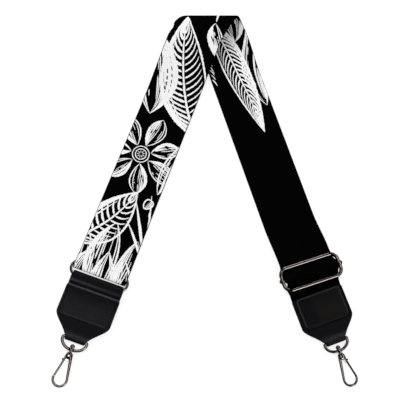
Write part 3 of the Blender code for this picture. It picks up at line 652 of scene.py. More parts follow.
def smooth(look, value, start, end):
    """From 0 to 1 as a value passes from start to end, in either direction."""
    made = node(look, "ShaderNodeMapRange", Value=value, From_Min=start, From_Max=end)
    made.interpolation_type = "SMOOTHSTEP"
    return made.outputs["Result"]


def texture(look, settings, kind="Noise", output="Fac"):
    place = node(look, "ShaderNodeTexCoord").outputs["Object"]
    return node(look, f"ShaderNodeTex{kind}", Vector=place, **settings).outputs[output]


def roughened(look, share, least, most):
    made = node(look, "ShaderNodeMapRange", Value=share, To_Min=least, To_Max=most)
    dress(look, Roughness=made.outputs["Result"])


def bumped(look, height, bump):
    made = node(look, "ShaderNodeBump", Height=height, Distance=bump[0], Strength=bump[1])
    dress(look, Normal=made.outputs["Normal"])


def yarn_material(name, dark, light):
    """A plain weave with fuzz, from the band's own map in metres."""
    made = material(name, Roughness=YARN_ROUGHNESS, Specular_IOR_Level=0.0)
    uv = node(made, "ShaderNodeUVMap").outputs["UV"]
    split = node(made, "ShaderNodeSeparateXYZ", Vector=uv).outputs
    yarns = [
        maths(made, "SINE", maths(made, "MULTIPLY", split[axis], 2 * math.pi / pitch))
        for axis, pitch in (("X", WARP_PITCH), ("Y", WEFT_PITCH))
    ]
    height = maths(made, "ADD", maths(made, "MULTIPLY", *yarns, 0.5), 0.5)
    fuzz = texture(made, YARN_FUZZ)
    dress(made, Base_Color=mixed(made, maths(made, "MULTIPLY", height, fuzz), dark, light))
    raised = maths(made, "ADD", height, maths(made, "MULTIPLY", fuzz, YARN_FUZZ_SHARE))
    bumped(made, raised, YARN_BUMP)
    return made


def leather_material(name, dark, light):
    """Grained leather. It is paler under its painted highlights, and warmer and lighter in its warm
    patch.
    """
    made = material(name, Specular_IOR_Level=LEATHER_SPECULAR)
    folds = texture(made, LEATHER_FOLDS)
    base = mixed(made, texture(made, LEATHER_PATCHES), dark, light)
    # Mixes in the painted highlights, and the warmer, lighter patch
    for mark, colour in (("warm_patch", WARMER_LEATHER), ("wear_and_painted_highlight", PAINTED_HIGHLIGHT_LEATHER)):
        share = node(made, "ShaderNodeAttribute")
        share.attribute_name = mark
        broken = maths(made, "ADD", folds, MARK_BASE)
        base = mixed(made, maths(made, "MULTIPLY", share.outputs["Fac"], broken), base, colour)
    dress(made, Base_Color=base)
    roughened(made, folds, *LEATHER_ROUGHNESS)
    grain = texture(made, LEATHER_GRAIN, "Voronoi", "Distance")
    bumped(made, maths(made, "ADD", grain, folds), LEATHER_BUMP)
    return made


def metal_material(name, colour, roughness):
    made = material(name, Base_Color=colour, Metallic=1.0, Specular_Tint=BLACK)
    # Wear noise for the metal's roughness and bumps only; no colour is painted here
    wear_and_painted_highlight = texture(made, METAL_WEAR)
    roughened(made, wear_and_painted_highlight, *[roughness * share for share in METAL_ROUGHNESS_SHARES])
    bumped(made, wear_and_painted_highlight, METAL_BUMP)
    return made


def board_material(name, dark, light):
    made = material(name, Roughness=BOARD_ROUGHNESS)
    fibres = texture(made, BOARD_FIBRES)
    dress(made, Base_Color=mixed(made, fibres, dark, light))
    bumped(made, fibres, BOARD_BUMP)
    return made


WEBBING = yarn_material("black_webbing", *BLACK_YARN)
INK = yarn_material("white_ink", *WHITE_YARN)
LEATHER_LOOK = leather_material("black_leather", *BLACK_LEATHER)
THREAD = yarn_material("black_thread", *BLACK_THREAD)
NICKEL = metal_material("polished_nickel", NICKEL_COLOUR, NICKEL_ROUGHNESS)
SPRING_STEEL = metal_material("spring_steel", STEEL_COLOUR, STEEL_ROUGHNESS)
BOARD = board_material("filler_board", *BOARD_COLOURS)


# Webbing


def fixed_rows():
    """The stretch of webbing that never slides: down the left leg inside, round the ring,
    and back over the bend. It starts and ends on the right leg."""
    left_end = -RING_LOOP_FROM * math.cos(LEFT_LEAN)
    right_end = BEND_LENGTH + RUN_FROM * math.cos(RIGHT_LEAN)
    slant = WEBBING_WIDTH / 2 * math.sin(strap_heading(0))
    flat = paced(left_end, -LEFT_DESCENT - slant, FLAT_STEP)[:-1]
    flat += paced(-LEFT_DESCENT - slant, -slant, FLAT_STEP)[:-1]
    curved = paced(-slant, BEND_LENGTH + slant, BEND_STEP)[:-1]
    stations = flat + curved + paced(BEND_LENGTH + slant, right_end, FLAT_STEP)
    radius = RING_Z - LOWER_Z
    centre = (RING_FOLD_AT - RING_Z, RING_Z)
    loop_from = RING_LOOP_FROM + FLAT_STEP
    lift_from, lift_to = RING_BAR_AT - RING_HEIGHT / 2, RING_BAR_AT - RING_WIRE
    outline = [(at, LOWER_Z) for at in paced(loop_from, lift_to, FLAT_STEP)]
    outline += arc(centre, radius, -QUARTER, math.pi, ARC_STEPS)
    outline += [
        (at, mid(UPPER_Z, RING_Z + radius, eased(at, lift_from, lift_to - lift_from)))
        for at in paced(lift_to, lift_from, BEND_STEP)
    ]
    outline += [(at, UPPER_Z) for at in paced(lift_from, loop_from, FLAT_STEP)[1:]]
    inner = [FoldRow(v, -1) for v in reversed(stations)]
    outer = [FoldRow(v, 1) for v in stations]
    return inner, leg_rows(LEFT_LEG, thinned(outline, GAP / 2)), outer


def side_over_bar(radius, floor_z, direction):
    """One side of the webbing's rise over the centre bar, from the top down to its foot."""
    angle = HUMP_SIDE_ANGLE
    crown = arc((0, SLIDER_Z), radius, QUARTER, -angle, ARC_STEPS)
    at, z = crown[-1]
    foot_top = floor_z + HUMP_FOOT_RADIUS * (1 - math.cos(angle))
    turn_at = at + (z - foot_top) / math.tan(angle)
    centre = (turn_at + HUMP_FOOT_RADIUS * math.sin(angle), floor_z + HUMP_FOOT_RADIUS)
    foot = arc(centre, HUMP_FOOT_RADIUS, -QUARTER - angle, angle, ARC_STEPS)
    return [(SLIDER_AT + direction * at, z) for at, z in crown + foot]


def climb(from_z, to_z, end):
    """The stretch above the slider, which rises to it up to an end beside the centre bar."""
    return [
        (at, mid(from_z, to_z, eased(at, RIDE_FROM, end - RIDE_FROM)))
        for at in paced(RIDE_FROM, end, BEND_STEP)
    ]


def hump_outline():
    """From the upper run's end, over the centre bar, to below the slider."""
    radius = SLIDER_WIRE / 2 + 1.5 * WEBBING_THICKNESS + 2 * GAP
    upper_floor = UPPER_Z + LAYER_STEP + SLIDER_LIFT
    over = climb(UPPER_Z, upper_floor, SLIDER_AT - BAR_LOOP_TAIL - 2 * GAP)
    over += reversed(side_over_bar(radius, upper_floor, -1))
    over += side_over_bar(radius, UPPER_Z, 1)[1:]
    return over + [(SLIDER_AT + SLIDER_HEIGHT / 2 + GAP, UPPER_Z)]


def bar_loop_outline():
    """From the lower run's end, round the centre bar and back along the run."""
    radius = SLIDER_WIRE / 2 + GAP + WEBBING_THICKNESS / 2
    floor_z, low = LOWER_Z + SLIDER_LIFT, SLIDER_Z - radius
    outline = climb(LOWER_Z, floor_z, SLIDER_AT - BAR_LOOP_TAIL)
    outline += [
        (SLIDER_AT + at, mid(low, floor_z, ease(-at / (2 * radius))))
        for at in paced(-2 * radius, 0, BEND_STEP)
    ]
    outline += arc((SLIDER_AT, SLIDER_Z), radius, -QUARTER, math.pi, ARC_STEPS)
    outline += side_over_bar(radius, UPPER_Z + SLIDER_LIFT, -1)[1:]
    return outline + [(SLIDER_AT - BAR_LOOP_TAIL, UPPER_Z + SLIDER_LIFT)]


def down(leg, at):
    return leg @ Vector((0, -at, 0))


def drift(at):
    """The right leg's frame, shifted sideways where the webbing is drawn to the slider."""
    reach = SLIDER_AT - SLIDER_HEIGHT / 2 - RIDE_FROM
    return RIGHT_LEG @ moved(WEBBING_DRIFT * eased(at, RIDE_FROM, reach), 0)


def snug_half(row):
    """Half the webbing's width, which spreads between the slider's bars."""
    off = abs(row.down - SLIDER_AT) / SLIDER_HEIGHT
    return WEBBING_WIDTH / 2 + WEBBING_SPREAD * (1 - eased(off, SPREAD_TO_SHARE, SPREAD_FADE_SHARE))


def bend_with_ring(piece):
    """Bakes the piece's place into its mesh."""
    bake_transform(piece)


def follow_slider(piece):
    """Bakes the piece's place into its mesh."""
    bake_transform(piece)


def webbing_band(name, rows, half, *layers):
    made = band(f"webbing_{name}", rows, half, WEBBING_THICKNESS, WEBBING, BAND_COLUMNS)
    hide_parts(*[f"webbing_{layer}" for layer in layers])
    return made


def make_run(name, z, past_slider, side, *layers):
    """A layer of the right leg, from where it starts to slide to its end at the slider."""
    outline = subdivided([(RUN_FROM, z), (RIDE_FROM, z)], FLAT_STEP)[:-1]
    outline = subdivided(thinned(outline + past_slider, GAP), FLAT_STEP)
    rows = leg_rows(RIGHT_LEG, outline, side)
    for row in rows:
        row.place = drift(row.down)
    follow_slider(webbing_band(name, rows, snug_half, *layers))
    return rows


def make_webbing(inner, loop, outer):
    half = WEBBING_WIDTH / 2
    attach(webbing_band("inside", inner + loop[:1], half, "inner_layer"), "strap")
    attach(webbing_band("outside", loop[-1:] + outer, half, "outer_layer"), "strap")
    bend_with_ring(webbing_band("round_ring", loop, half, "ring_loop"))
    runs = (
        make_run("over_slider", UPPER_Z, hump_outline(), -1, "upper_run", "hump"),
        make_run("round_bar", LOWER_Z, bar_loop_outline(), 1, "lower_run", "bar_loop"),
    )
    start = SLIDER_AT + SLIDER_HEIGHT / 2 + GAP
    free = subdivided([(start, UPPER_Z), (WEBBING_END_AT, UPPER_Z)], BEND_STEP)
    rows = leg_rows(RIGHT_LEG, free, -1)
    for row in rows:
        share = eased(row.down, start, RIGHT_TAB_TOP_AT - start)
        row.place = drift(row.down).lerp(RIGHT_TAB, share)
    end = webbing_band("to_tab", rows, snug_half, "tab_end")
    start = down(RIGHT_LEG, start + GAP)
    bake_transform(end)
    return runs


# Print


class Ground:
    """The printed face of a strand: places (along, across) on it in space."""

    def __init__(self, rows):
        self.rows = rows
        self.runs = [0.0]
        for near, far in zip(rows, rows[1:]):
            step = (far.at(0, 0) - near.at(0, 0)).length
            self.runs.append(self.runs[-1] + step)

    def run_of(self, row):
        return self.runs[self.rows.index(row)]

    def station(self, x, z):
        """How far along the row is that passes nearest to a place over the fold's axis."""
        place = FOLD + Vector((x, 0, z))
        return min(((row.at(0, 0) - place).length, run) for row, run in zip(self.rows, self.runs))[1]

    def at(self, along, across, height):
        low, high = 0, len(self.runs) - 1
        while high - low > 1:
            middle = (low + high) // 2
            low, high = (middle, high) if self.runs[middle] <= along else (low, middle)
        share = (along - self.runs[low]) / (self.runs[high] - self.runs[low])
        near, far = self.rows[low].at(across, height), self.rows[high].at(across, height)
        return near.lerp(far, min(max(share, 0), 1))


def bow(start, lean, end):
    """A line from start to end that bends towards lean, as a function of its share."""

    def at(t):
        a, b, c = (1 - t) ** 2, 2 * t * (1 - t), t * t
        return (a * start[0] + b * lean[0] + c * end[0], a * start[1] + b * lean[1] + c * end[1])

    return at


def off(place, angle, reach):
    """The place at a reach from another, in a direction."""
    return (place[0] + reach * math.cos(angle), place[1] + reach * math.sin(angle))


def beside(start, end, along, aside):
    """A place along the line from start to end as a share, and aside of it as a share."""
    run, rise = end[0] - start[0], end[1] - start[1]
    return (start[0] + run * along - rise * aside, start[1] + rise * along + run * aside)


class Print:
    """Strokes of ink on part of the ground, gathered into one mesh. Places are given as
    (down, across) from a station of the ground, and lengths in millimetres. The numbers
    inside the shapes are shares of the shape's own length, width or number of cuts."""

    def __init__(self, ground, start, end, step):
        self.ground = ground
        self.start = start
        self.end = end
        self.step = step
        self.half = WEBBING_WIDTH / 2 - INK_EDGE
        self.random = random.Random(INK_SEED)
        self.verts, self.uvs, self.faces = [], [], []
        self.count = 0
        self.origin, self.sense = 0.0, 1

    def placed(self, point, reach):
        along = self.origin + self.sense * (point[0] + reach[0]) * MM
        across = (point[1] + reach[1]) * MM
        return (min(max(along, self.start), self.end), min(max(across, -self.half), self.half))

    def stroke(self, points, width, taper_in=0.2, taper_out=0.45):
        """A tapered cut along the points, with an uneven edge."""
        self.count += 1
        alongs = [self.origin + self.sense * point[0] * MM for point in points]
        if max(alongs) + width * MM < self.start or min(alongs) - width * MM > self.end:
            return
        rough = random.Random(self.count)
        height = WEBBING_THICKNESS / 2 + INK_HEIGHT * (1 + self.count % INK_LEVELS / INK_LEVELS)
        verts = []
        last = len(points) - 1
        for index, point in enumerate(points):
            before, after = points[max(index - 1, 0)], points[min(index + 1, last)]
            run, rise = after[0] - before[0], after[1] - before[1]
            size = math.hypot(run, rise) or 1
            share = index / last
            swell = min(share / (taper_in or 1), (1 - share) / (taper_out or 1), 1)
            if not taper_in:
                swell = 1
            wide = width / 2 * mid(INK_TIP_SHARE, 1, math.sqrt(max(swell, 0)))
            for side in (1, -1):
                reach = side * wide * rough.uniform(*INK_RAGGED)
                verts.append(self.placed(point, (-rise / size * reach, run / size * reach)))
        first = len(self.verts)
        kept = []
        for a in range(0, 2 * last, 2):
            quad = (a, a + 1, a + 3, a + 2)
            corners = [verts[k] for k in quad]
            pairs = zip(corners, corners[1:] + corners[:1])
            if abs(sum(p[0] * q[1] - q[0] * p[1] for p, q in pairs)) > INK_LEAST_AREA:
                kept.append(tuple(first + k for k in quad))
        if kept:
            self.faces += kept
            self.verts += [self.ground.at(*place, height) for place in verts]
            self.uvs += [(place[1], place[0]) for place in verts]

    def cut(self, line, width, start=0.0, end=1.0, **taper):
        """A stroke along part of a line that is a function of its share."""
        length = sum(math.dist(line(t), line(t + 0.1)) for t in spread(0, 0.9, 9))
        steps = max(math.ceil(length * abs(end - start) * MM / self.step), 3)
        self.stroke([line(t) for t in spread(start, end, steps)], width, **taper)

    def bundle(self, near, far, count, thick, thin, ragged=0.35, reach=1.0):
        """Cuts that run along two lines, whole and thick by the near one, and thinner and
        more broken towards the far one."""
        for index in range(count):
            share = index / (count - 1)
            start = ragged * share * self.random.random()
            end = 1 - ragged * share * self.random.random()
            wander = self.random.uniform(-0.35, 0.35) / count if index else 0
            breaks = [start, end]
            if share > 0.3 and self.random.random() < 0.5:
                middle = self.random.uniform(0.35, 0.65)
                breaks = [start, middle - 0.03, middle + 0.03, end]

            def line(t, place=share * reach + wander):
                swell = mid(0.75, 1, math.sin(math.pi * min(max(t, 0), 1)))
                return between(near(t), far(t), place * swell)

            width = mid(thick, thin, share ** 0.6)
            for low, high in zip(breaks[::2], breaks[1::2]):
                self.cut(line, width * self.random.uniform(0.85, 1.15), low, high)

    def ribs(self, spine, edge, count, width, reach=0.93):
        """Cuts from a spine out to an edge, leaning towards the tip."""
        for t in spread(0.08, 0.92, count):
            tip_at, lean_at = min(t + 0.14, 1), t + 0.056
            tip = between(spine(tip_at), edge(tip_at), reach)
            root = between(spine(t), edge(t), 0.06)
            lean = between(spine(lean_at), edge(lean_at), 0.62)
            wide = width * self.random.uniform(0.8, 1.15)
            self.cut(bow(root, lean, tip), wide, taper_in=0.1, taper_out=0.7)

    def leaf(self, root, tip, wide, bend, count, bold):
        """A broad leaf, lit from one side: bold ribs there and fine ones on the other."""
        spine = bow(root, beside(root, tip, 0.48, bend), tip)
        bright, shaded = [
            bow(root, beside(root, tip, 0.42, bend + side * wide), tip) for side in (1, -1)
        ]
        self.bundle(bright, spine, 4, bold * 1.25, bold * 0.5, 0.3, 0.28)
        self.cut(shaded, bold * 0.8, taper_in=0.1, taper_out=0.2)
        self.cut(spine, bold, -0.06, 0.97, taper_in=0.05, taper_out=0.9)
        self.ribs(spine, bright, count, bold * 0.95)
        self.ribs(spine, shaded, count, bold * 0.62, reach=0.86)

    def petal(self, root, tip, wide, bend, count, bold):
        """A petal whose cuts run from root to tip, gathered along its bright edge."""
        shaded, spine, bright = [
            bow(root, beside(root, tip, 0.6, bend + side * wide), tip) for side in (-1, 0, 1)
        ]
        self.bundle(bright, spine, count, bold, bold * 0.42)
        self.bundle(shaded, spine, max(count // 2, 2), bold * 0.7, bold * 0.35, 0.6, 0.6)

    def flower(self, centre, radius, petals, turn):
        """An open flower with a ring of petals round a seeded middle."""
        for index in range(petals):
            angle = turn + 2 * math.pi * index / petals
            far = radius * self.random.uniform(0.93, 1.07)
            root, tip = off(centre, angle, radius * 0.24), off(centre, angle, far)
            self.petal(root, tip, 0.52, self.random.uniform(-0.08, 0.08), 6, 1.7)
        for size in (0.20, 0.13):
            self.stroke(arc(centre, radius * size, 0, 2 * math.pi, 20), 0.9, 0, 0)
        for angle in spread(0, 2 * math.pi, 9)[1:]:
            seed = [off(centre, angle, radius * share) for share in (0.03, 0.065, 0.10)]
            self.stroke(seed, 0.8)

    def grass(self, root, lean, blades, length, fan):
        """Blades that fan out from a root back up the strand, each cut as three streaks."""
        direction = math.pi + lean
        for index in range(blades):
            share = index / (blades - 1) - 0.5
            angle = direction + fan * share + self.random.uniform(-0.06, 0.06)
            far = length * (1 - 0.9 * share * share) * self.random.uniform(0.85, 1.1)
            start = off(root, direction + QUARTER, 6 * share)
            middle = off(start, angle, far * 0.55)
            tip = off(middle, angle + 0.6 * share, far * 0.5)
            side = off(middle, angle + QUARTER, 2.6)
            self.bundle(bow(start, middle, tip), bow(start, side, tip), 3, 1.7, 0.8, 0.3)

    def pod(self, centre, length, wide, turn):
        """A seed pod: an oval with cuts across one half."""

        def place(along, aside):
            return off(off(centre, turn, length * along), turn + QUARTER, wide * aside)

        oval = [
            place(math.cos(a) / 2, math.sin(a) / 2 * (1 - 0.25 * math.cos(a)))
            for a in spread(0, 2 * math.pi, 30)
        ]
        self.stroke(oval, 1.2, 0, 0)
        for share in spread(-0.34, 0.36, 5):
            edge = math.sqrt(1 - (2 * share) ** 2) / 2
            ends = [place(share, edge * 0.85), place(share, -edge * 0.25)]
            line = bow(ends[0], place(share + 0.06, edge * 0.3), ends[1])
            self.cut(line, 1.0, taper_in=0.1, taper_out=0.8)

    def shade(self, near, far, reach, count, width):
        """Short even cuts laid side by side along a line, as shading."""
        for share in spread(0, 1, count):
            root = between(near, far, share)
            tip = (root[0] + reach[0] * self.random.uniform(0.6, 1.1), root[1] + reach[1])
            lean = beside(root, tip, 0.5, 0.12)
            self.cut(bow(root, lean, tip), width, taper_in=0.3, taper_out=0.6)

    def draw(self, design, side):
        """A design's shapes, whose places across, bends and leans turn over with the side."""
        for shape, *places, settings in design:
            flipped = {
                name: side * value if name in ("bend", "lean") else value
                for name, value in settings.items()
            }
            shape(self, *[(along, side * across) for along, across in places], **flipped)

    def finish(self, name):
        made = add_mesh(name, self.verts, self.faces, INK, self.uvs)
        return made


# The design of one leg's length, from the bend down
GARDEN = (
    (Print.leaf, (112, 36), (2, -14), dict(wide=0.36, bend=0.12, count=17, bold=2.6)),
    (Print.petal, (22, -40), (104, -14), dict(wide=0.42, bend=0.14, count=10, bold=2.6)),
    (Print.petal, (30, 34), (-6, 12), dict(wide=0.36, bend=0.10, count=7, bold=2.2)),
    (Print.flower, (146, -7), dict(radius=40, petals=7, turn=0.25)),
    (Print.petal, (112, 34), (178, 22), dict(wide=0.20, bend=-0.10, count=6, bold=2.0)),
    (Print.grass, (246, 36), dict(lean=0.30, blades=5, length=60, fan=0.45)),
    (Print.leaf, (246, -38), (182, 4), dict(wide=0.44, bend=-0.16, count=11, bold=2.4)),
    (Print.pod, (190, 17), dict(length=10, wide=8, turn=-0.4)),
    (Print.petal, (296, 0), (216, -3), dict(wide=0.34, bend=0.08, count=7, bold=2.2)),
    (Print.petal, (296, 14), (226, 21), dict(wide=0.30, bend=-0.10, count=6, bold=2.0)),
    (Print.petal, (294, -16), (234, -23), dict(wide=0.32, bend=0.10, count=6, bold=2.0)),
)
# The design beside the bend, which ends the printed length
SPRAY = (
    (Print.leaf, (-22, -10), (116, 8), dict(wide=0.17, bend=0.05, count=20, bold=1.9)),
    (Print.petal, (-4, 36), (90, 20), dict(wide=0.24, bend=-0.14, count=9, bold=2.1)),
    (Print.petal, (-40, 26), (16, 10), dict(wide=0.34, bend=0.12, count=7, bold=2.0)),
    (Print.pod, (66, 13), dict(length=9, wide=6, turn=0.2)),
    (Print.shade, (16, -22), (50, -24), (9, 3), dict(count=7, width=1.2)),
)


def make_print(runs, inner, loop, outer):
    """The print on the fixed strand, and the ends of it on the two runs that slide."""
    upper, lower = [[row for row in rows if RUN_FROM < row.down < PRINT_END_AT] for rows in runs]
    ground = Ground(upper[::-1] + inner + loop + outer + lower)
    joins = [0.0] + [ground.run_of(row) for row in (inner[0], loop[0], loop[-1], outer[-1])]
    joins.append(ground.runs[-1])
    designs = (
        (ground.station(0, BEND_HEIGHT), -1, GARDEN, 1),
        (ground.station(RIGHT_LEG_X, DOUBLE_WEBBING), -1, SPRAY, 1),
        (ground.station(0, BEND_HEIGHT - DOUBLE_WEBBING), 1, GARDEN, -1),
        (ground.station(RIGHT_LEG_X, 0), 1, SPRAY, -1),
    )
    names = ("above", "inside", "round_ring", "outside", "below")
    for name, start, end in zip(names, joins, joins[1:]):
        ink = Print(ground, start, end, INK_STEP_ROUND_RING if name == "round_ring" else INK_STEP)
        for ink.origin, ink.sense, design, side in designs:
            ink.draw(design, side)
        piece = ink.finish(f"webbing_print_{name}")
        if name == "round_ring":
            bend_with_ring(piece)
        elif name in ("inside", "outside"):
            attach(piece, "strap")
        else:
            follow_slider(piece)


# Leather


def tab_half_width(at):
    share = (at - (TAB_NECK_AT - TAPER_LENGTH)) / TAPER_LENGTH
    share = min(max(share, 0), 1) ** TAPER_POWER
    return mid(WEBBING_WIDTH / 2, NECK_WIDTH / 2, ease(share))


def front_surface(inside):
    """Height of the middle of a tab's front leather, as a function of the distance down."""
    low = LEATHER + inside + GAP + LEATHER / 2
    high = NECK_Z + NECK_RADIUS
    return lambda at: mid(low, high, eased(at, D_BAR_AT - SHOULDER_RISE, SHOULDER_RISE))


def tab_outline(top_at, front_z):
    """Front of the tab from its top edge, round the D eye's bar, and the back."""
    shares = spread(0, 1, BAND_END_ROWS)[:-1]
    downs = [top_at + LEATHER / 2 * (1 - math.cos(QUARTER * share)) for share in shares]
    downs += paced(top_at + LEATHER / 2, D_BAR_AT, TAB_STEP)
    front = [(at, front_z(at)) for at in downs]
    bend = arc((D_BAR_AT, NECK_Z), NECK_RADIUS, QUARTER, -math.pi, ARC_STEPS)
    return front + bend[1:-1] + [(at, LEATHER / 2) for at in reversed(downs)]


def tab_half(top_at):
    def half(row):
        if row.down > D_BAR_AT - D_WIRE / 2:
            return min(tab_half_width(row.down), NECK_CLEAR)
        into = min((row.down - top_at) / TAB_TOP_CORNER, 1)
        cut = TAB_TOP_CORNER * (1 - math.sqrt(max(1 - (1 - into) ** 2, 0)))
        return tab_half_width(row.down) - cut

    return half


def panel_distance(at, across):
    """Distance outside the raised panel's rounded outline, below 0 inside it."""
    x = abs(across) - (PANEL_WIDTH / 2 - PANEL_CORNER)
    y = abs(at - PANEL_FOOT_AT + PANEL_LENGTH / 2) - (PANEL_LENGTH / 2 - PANEL_CORNER)
    outside = math.hypot(max(x, 0), max(y, 0))
    return outside + min(max(x, y), 0) - PANEL_CORNER


def ridge_side(across):
    """1 along the left tab's ridge, and 0 past its ends."""
    return 1 - eased(abs(across), WEBBING_WIDTH / 2 - RIDGE_END_IN, RIDGE_END_FADE)


def right_relief(row, across):
    if row.z <= FRONT_FROM_Z:
        return 0.0
    gap = panel_distance(row.down, across)
    groove = peak(gap, PANEL_EDGE * GROOVE_AT_SHARE, PANEL_EDGE * GROOVE_WIDTH_SHARE)
    return PANEL_RISE * (1 - eased(gap, -PANEL_EDGE, PANEL_EDGE)) - PANEL_GROOVE * groove


def left_relief(row, across):
    if row.z <= FRONT_FROM_Z:
        return 0.0
    ridge = RIDGE_RISE * peak(row.down, RIDGE_AT, RIDGE_WIDTH)
    return ridge * ridge_side(across) + LIP_RISE * peak(row.down, LEFT_TAB_TOP_AT + LIP_IN, LIP_WIDTH)


def right_marks(row, across):
    if row.z <= FRONT_FROM_Z:
        return 0.0, 0.0
    gap = panel_distance(row.down, across)
    past_foot = row.down - PANEL_FOOT_AT
    # Painted highlights along the raised panel's edge and at the neck's bend, and a little painted light
    # on the taper
    wear_and_painted_highlight = PANEL_LIP_HIGHLIGHT * peak(gap, *PANEL_LIP) * (1 - eased(past_foot, *PANEL_LIP_END))
    wear_and_painted_highlight += TAPER_PAINTED_LIGHT * eased(past_foot, *TAPER_FROM)
    wear_and_painted_highlight += RIGHT_NECK_HIGHLIGHT * peak(row.down, *RIGHT_NECK_CREASE)
    # A warmer, lighter patch on the panel, stronger towards one side, lower down and by its foot, and
    # fading out at the panel's edge
    warm = max(
        eased(across, *PANEL_WARM_ACROSS) * mid(PANEL_WARM_TOP_SHARE, 1, eased(row.down, *PANEL_WARM_DOWN)),
        peak(past_foot, *PANEL_WARM_FOOT),
        eased(across, *PANEL_WARM_SIDE),
    )
    return wear_and_painted_highlight, mid(*PANEL_WARM, warm) * (1 - eased(gap, *PANEL_WARM_FADE))


def left_marks(row, across):
    if row.z <= FRONT_FROM_Z:
        return 0.0, 0.0
    # Painted light that grows down the tab's face and drops on the taper, and painted highlights along
    # the top edge, the ridge and the neck's bend
    wear_and_painted_highlight = mid(*LEFT_FACE_PAINTED_LIGHT, eased(row.down, *LEFT_FACE))
    wear_and_painted_highlight = mid(wear_and_painted_highlight, LEFT_TAPER_PAINTED_LIGHT, eased(row.down, *LEFT_TAPER))
    wear_and_painted_highlight += LEFT_LIP_HIGHLIGHT * peak(row.down, *LEFT_LIP)
    wear_and_painted_highlight += RIDGE_LINE_HIGHLIGHT * peak(row.down, *RIDGE_LINE) * ridge_side(across)
    return wear_and_painted_highlight + LEFT_NECK_HIGHLIGHT * peak(row.down, *LEFT_NECK_CREASE), 0.0


def ring_leather_marks(row, across):
    if row.z < RING_Z:
        return 0.0, 0.0
    # Painted highlights on the loop's fold and along its bulge over the ring, lighter to one side, and
    # faint painted light over the rest of its outer face
    bulge = (LOOP_BULGE_HIGHLIGHT - LOOP_BULGE_SLOPE * across) * peak(row.down, *LOOP_BULGE)
    return LOOP_PAINTED_LIGHT + LOOP_FOLD_HIGHLIGHT * peak(row.down, *LOOP_FOLD) + bulge, 0.0


def stitch_line(points):
    """Stitches along a line of (down, across), each as its two ends."""
    length = sum(math.dist(a, b) for a, b in zip(points, points[1:]))
    count = int(length / STITCH_PITCH)
    slack = (length - count * STITCH_PITCH + STITCH_PITCH - STITCH_LENGTH) / 2
    starts = [slack + k * STITCH_PITCH for k in range(count)]
    ends = [(start, start + STITCH_LENGTH) for start in starts]
    return [[between(*points, run / length) for run in pair] for pair in ends]


def make_stitches(name, lines, place, height, body):
    """Threads that dive into the leather at both ends. height gives the surface's z."""
    verts, faces = [], []
    sides = STITCH_SIDES
    for start, end in lines:
        a, b = Vector((start[1], -start[0], 0)), Vector((end[1], -end[0], 0))
        along = (b - a).normalized()
        aside = Vector((-along.y, along.x, 0))
        first = len(verts)
        for share in spread(0, 1, STITCH_STEPS):
            flat = a.lerp(b, share)
            lift = math.sin(math.pi * share)
            radius = STITCH_WIDTH / 2 * mid(STITCH_END_SHARE, 1, lift)
            z = height(-flat.y, flat.x) - STITCH_WIDTH * STITCH_DIVE_SHARE * (1 - lift)
            for k in range(sides):
                angle = 2 * math.pi * k / sides
                point = flat + aside * radius * math.cos(angle)
                verts.append(place @ Vector((point.x, point.y, z + radius * math.sin(angle))))
        for p in range(first, first + STITCH_STEPS * sides, sides):
            q = p + sides
            for k in range(sides):
                after = (k + 1) % sides
                faces.append((p + k, p + after, q + after, q + k))
        faces.append(tuple(reversed(range(first, first + sides))))
        faces.append(tuple(range(first + STITCH_STEPS * sides, first + (STITCH_STEPS + 1) * sides)))
    made = add_mesh(name, verts, faces, THREAD)
    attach(made, body)


def side_lines(top_at, foot_at):
    """Stitch lines down both sides of a tab and across above its taper."""
    edge = WEBBING_WIDTH / 2 - STITCH_INSET
    top = top_at + STITCH_INSET * STITCH_TOP_SHARE
    lines = []
    for side in (-1, 1):
        lines += stitch_line([(top, side * edge), (foot_at, side * edge)])
    return lines + stitch_line([(foot_at, -edge + STITCH_PITCH), (foot_at, edge - STITCH_PITCH)])


def make_tab(side, place, top_at, inside, relief, marks, stitches_to):
    body = f"{side}_tab"
    front_z = front_surface(inside)
    rows = leg_rows(place, thinned(tab_outline(top_at, front_z), GAP / 10), -1)
    made = band(body, rows, tab_half(top_at), LEATHER, LEATHER_LOOK, TAB_COLUMNS, relief, True, marks)
    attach(made, body)
    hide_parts(f"{side}_tab_leather")

    def height(at, across):
        row = LegRow(place, at, front_z(at), (0, 1))
        return row.z + LEATHER / 2 + relief(row, across)

    lines = side_lines(top_at, stitches_to)
    make_stitches(f"{side}_tab_stitches", lines, place, height, body)
    make_stitches(f"{side}_tab_back_stitches", lines, place, lambda at, across: 0.0, body)
    filler = frame["nodes"][f"{side}_tab_filler"]
    filler.data.materials.clear()
    filler.data.materials.append(BOARD)


def make_ring_leather():
    radius = RING_WIRE / 2 + GAP + LOOP_LEATHER / 2
    low_z = LEATHER + GAP + LOOP_LEATHER / 2
    high_z = low_z + LOOP_LEATHER + GAP
    centre = (LOOP_TOP_AT + radius + LOOP_LEATHER / 2, RING_Z)
    closes_from = RING_BAR_AT + RING_PITCH + RING_WIRE
    closes_to = LEFT_TAB_TOP_AT - GAP

    def side(end_z, tail_z):
        closing = [
            (at, mid(end_z, tail_z, eased(at, closes_from, closes_to - closes_from)))
            for at in paced(centre[0], closes_to, BEND_STEP)[1:]
        ]
        return closing + [(LOOP_END_AT, tail_z)]

    def half(row):
        return LOOP_WIDTH / 2 - LOOP_CORNER * (1 - eased(row.down, centre[0], LOOP_CORNER))

    outline = list(reversed(side(RING_Z - radius, low_z)))
    outline += reversed(arc(centre, radius, QUARTER, math.pi, ARC_STEPS))
    outline += side(RING_Z + radius, high_z)
    rows = leg_rows(LEFT_TAB, subdivided(outline, BEND_STEP), -1)
    made = band(
        "ring_leather", rows, half, LOOP_LEATHER, LEATHER_LOOK, LOOP_COLUMNS, marks=ring_leather_marks
    )
    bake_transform(made)
    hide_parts("left_ring_leather")


# Metal


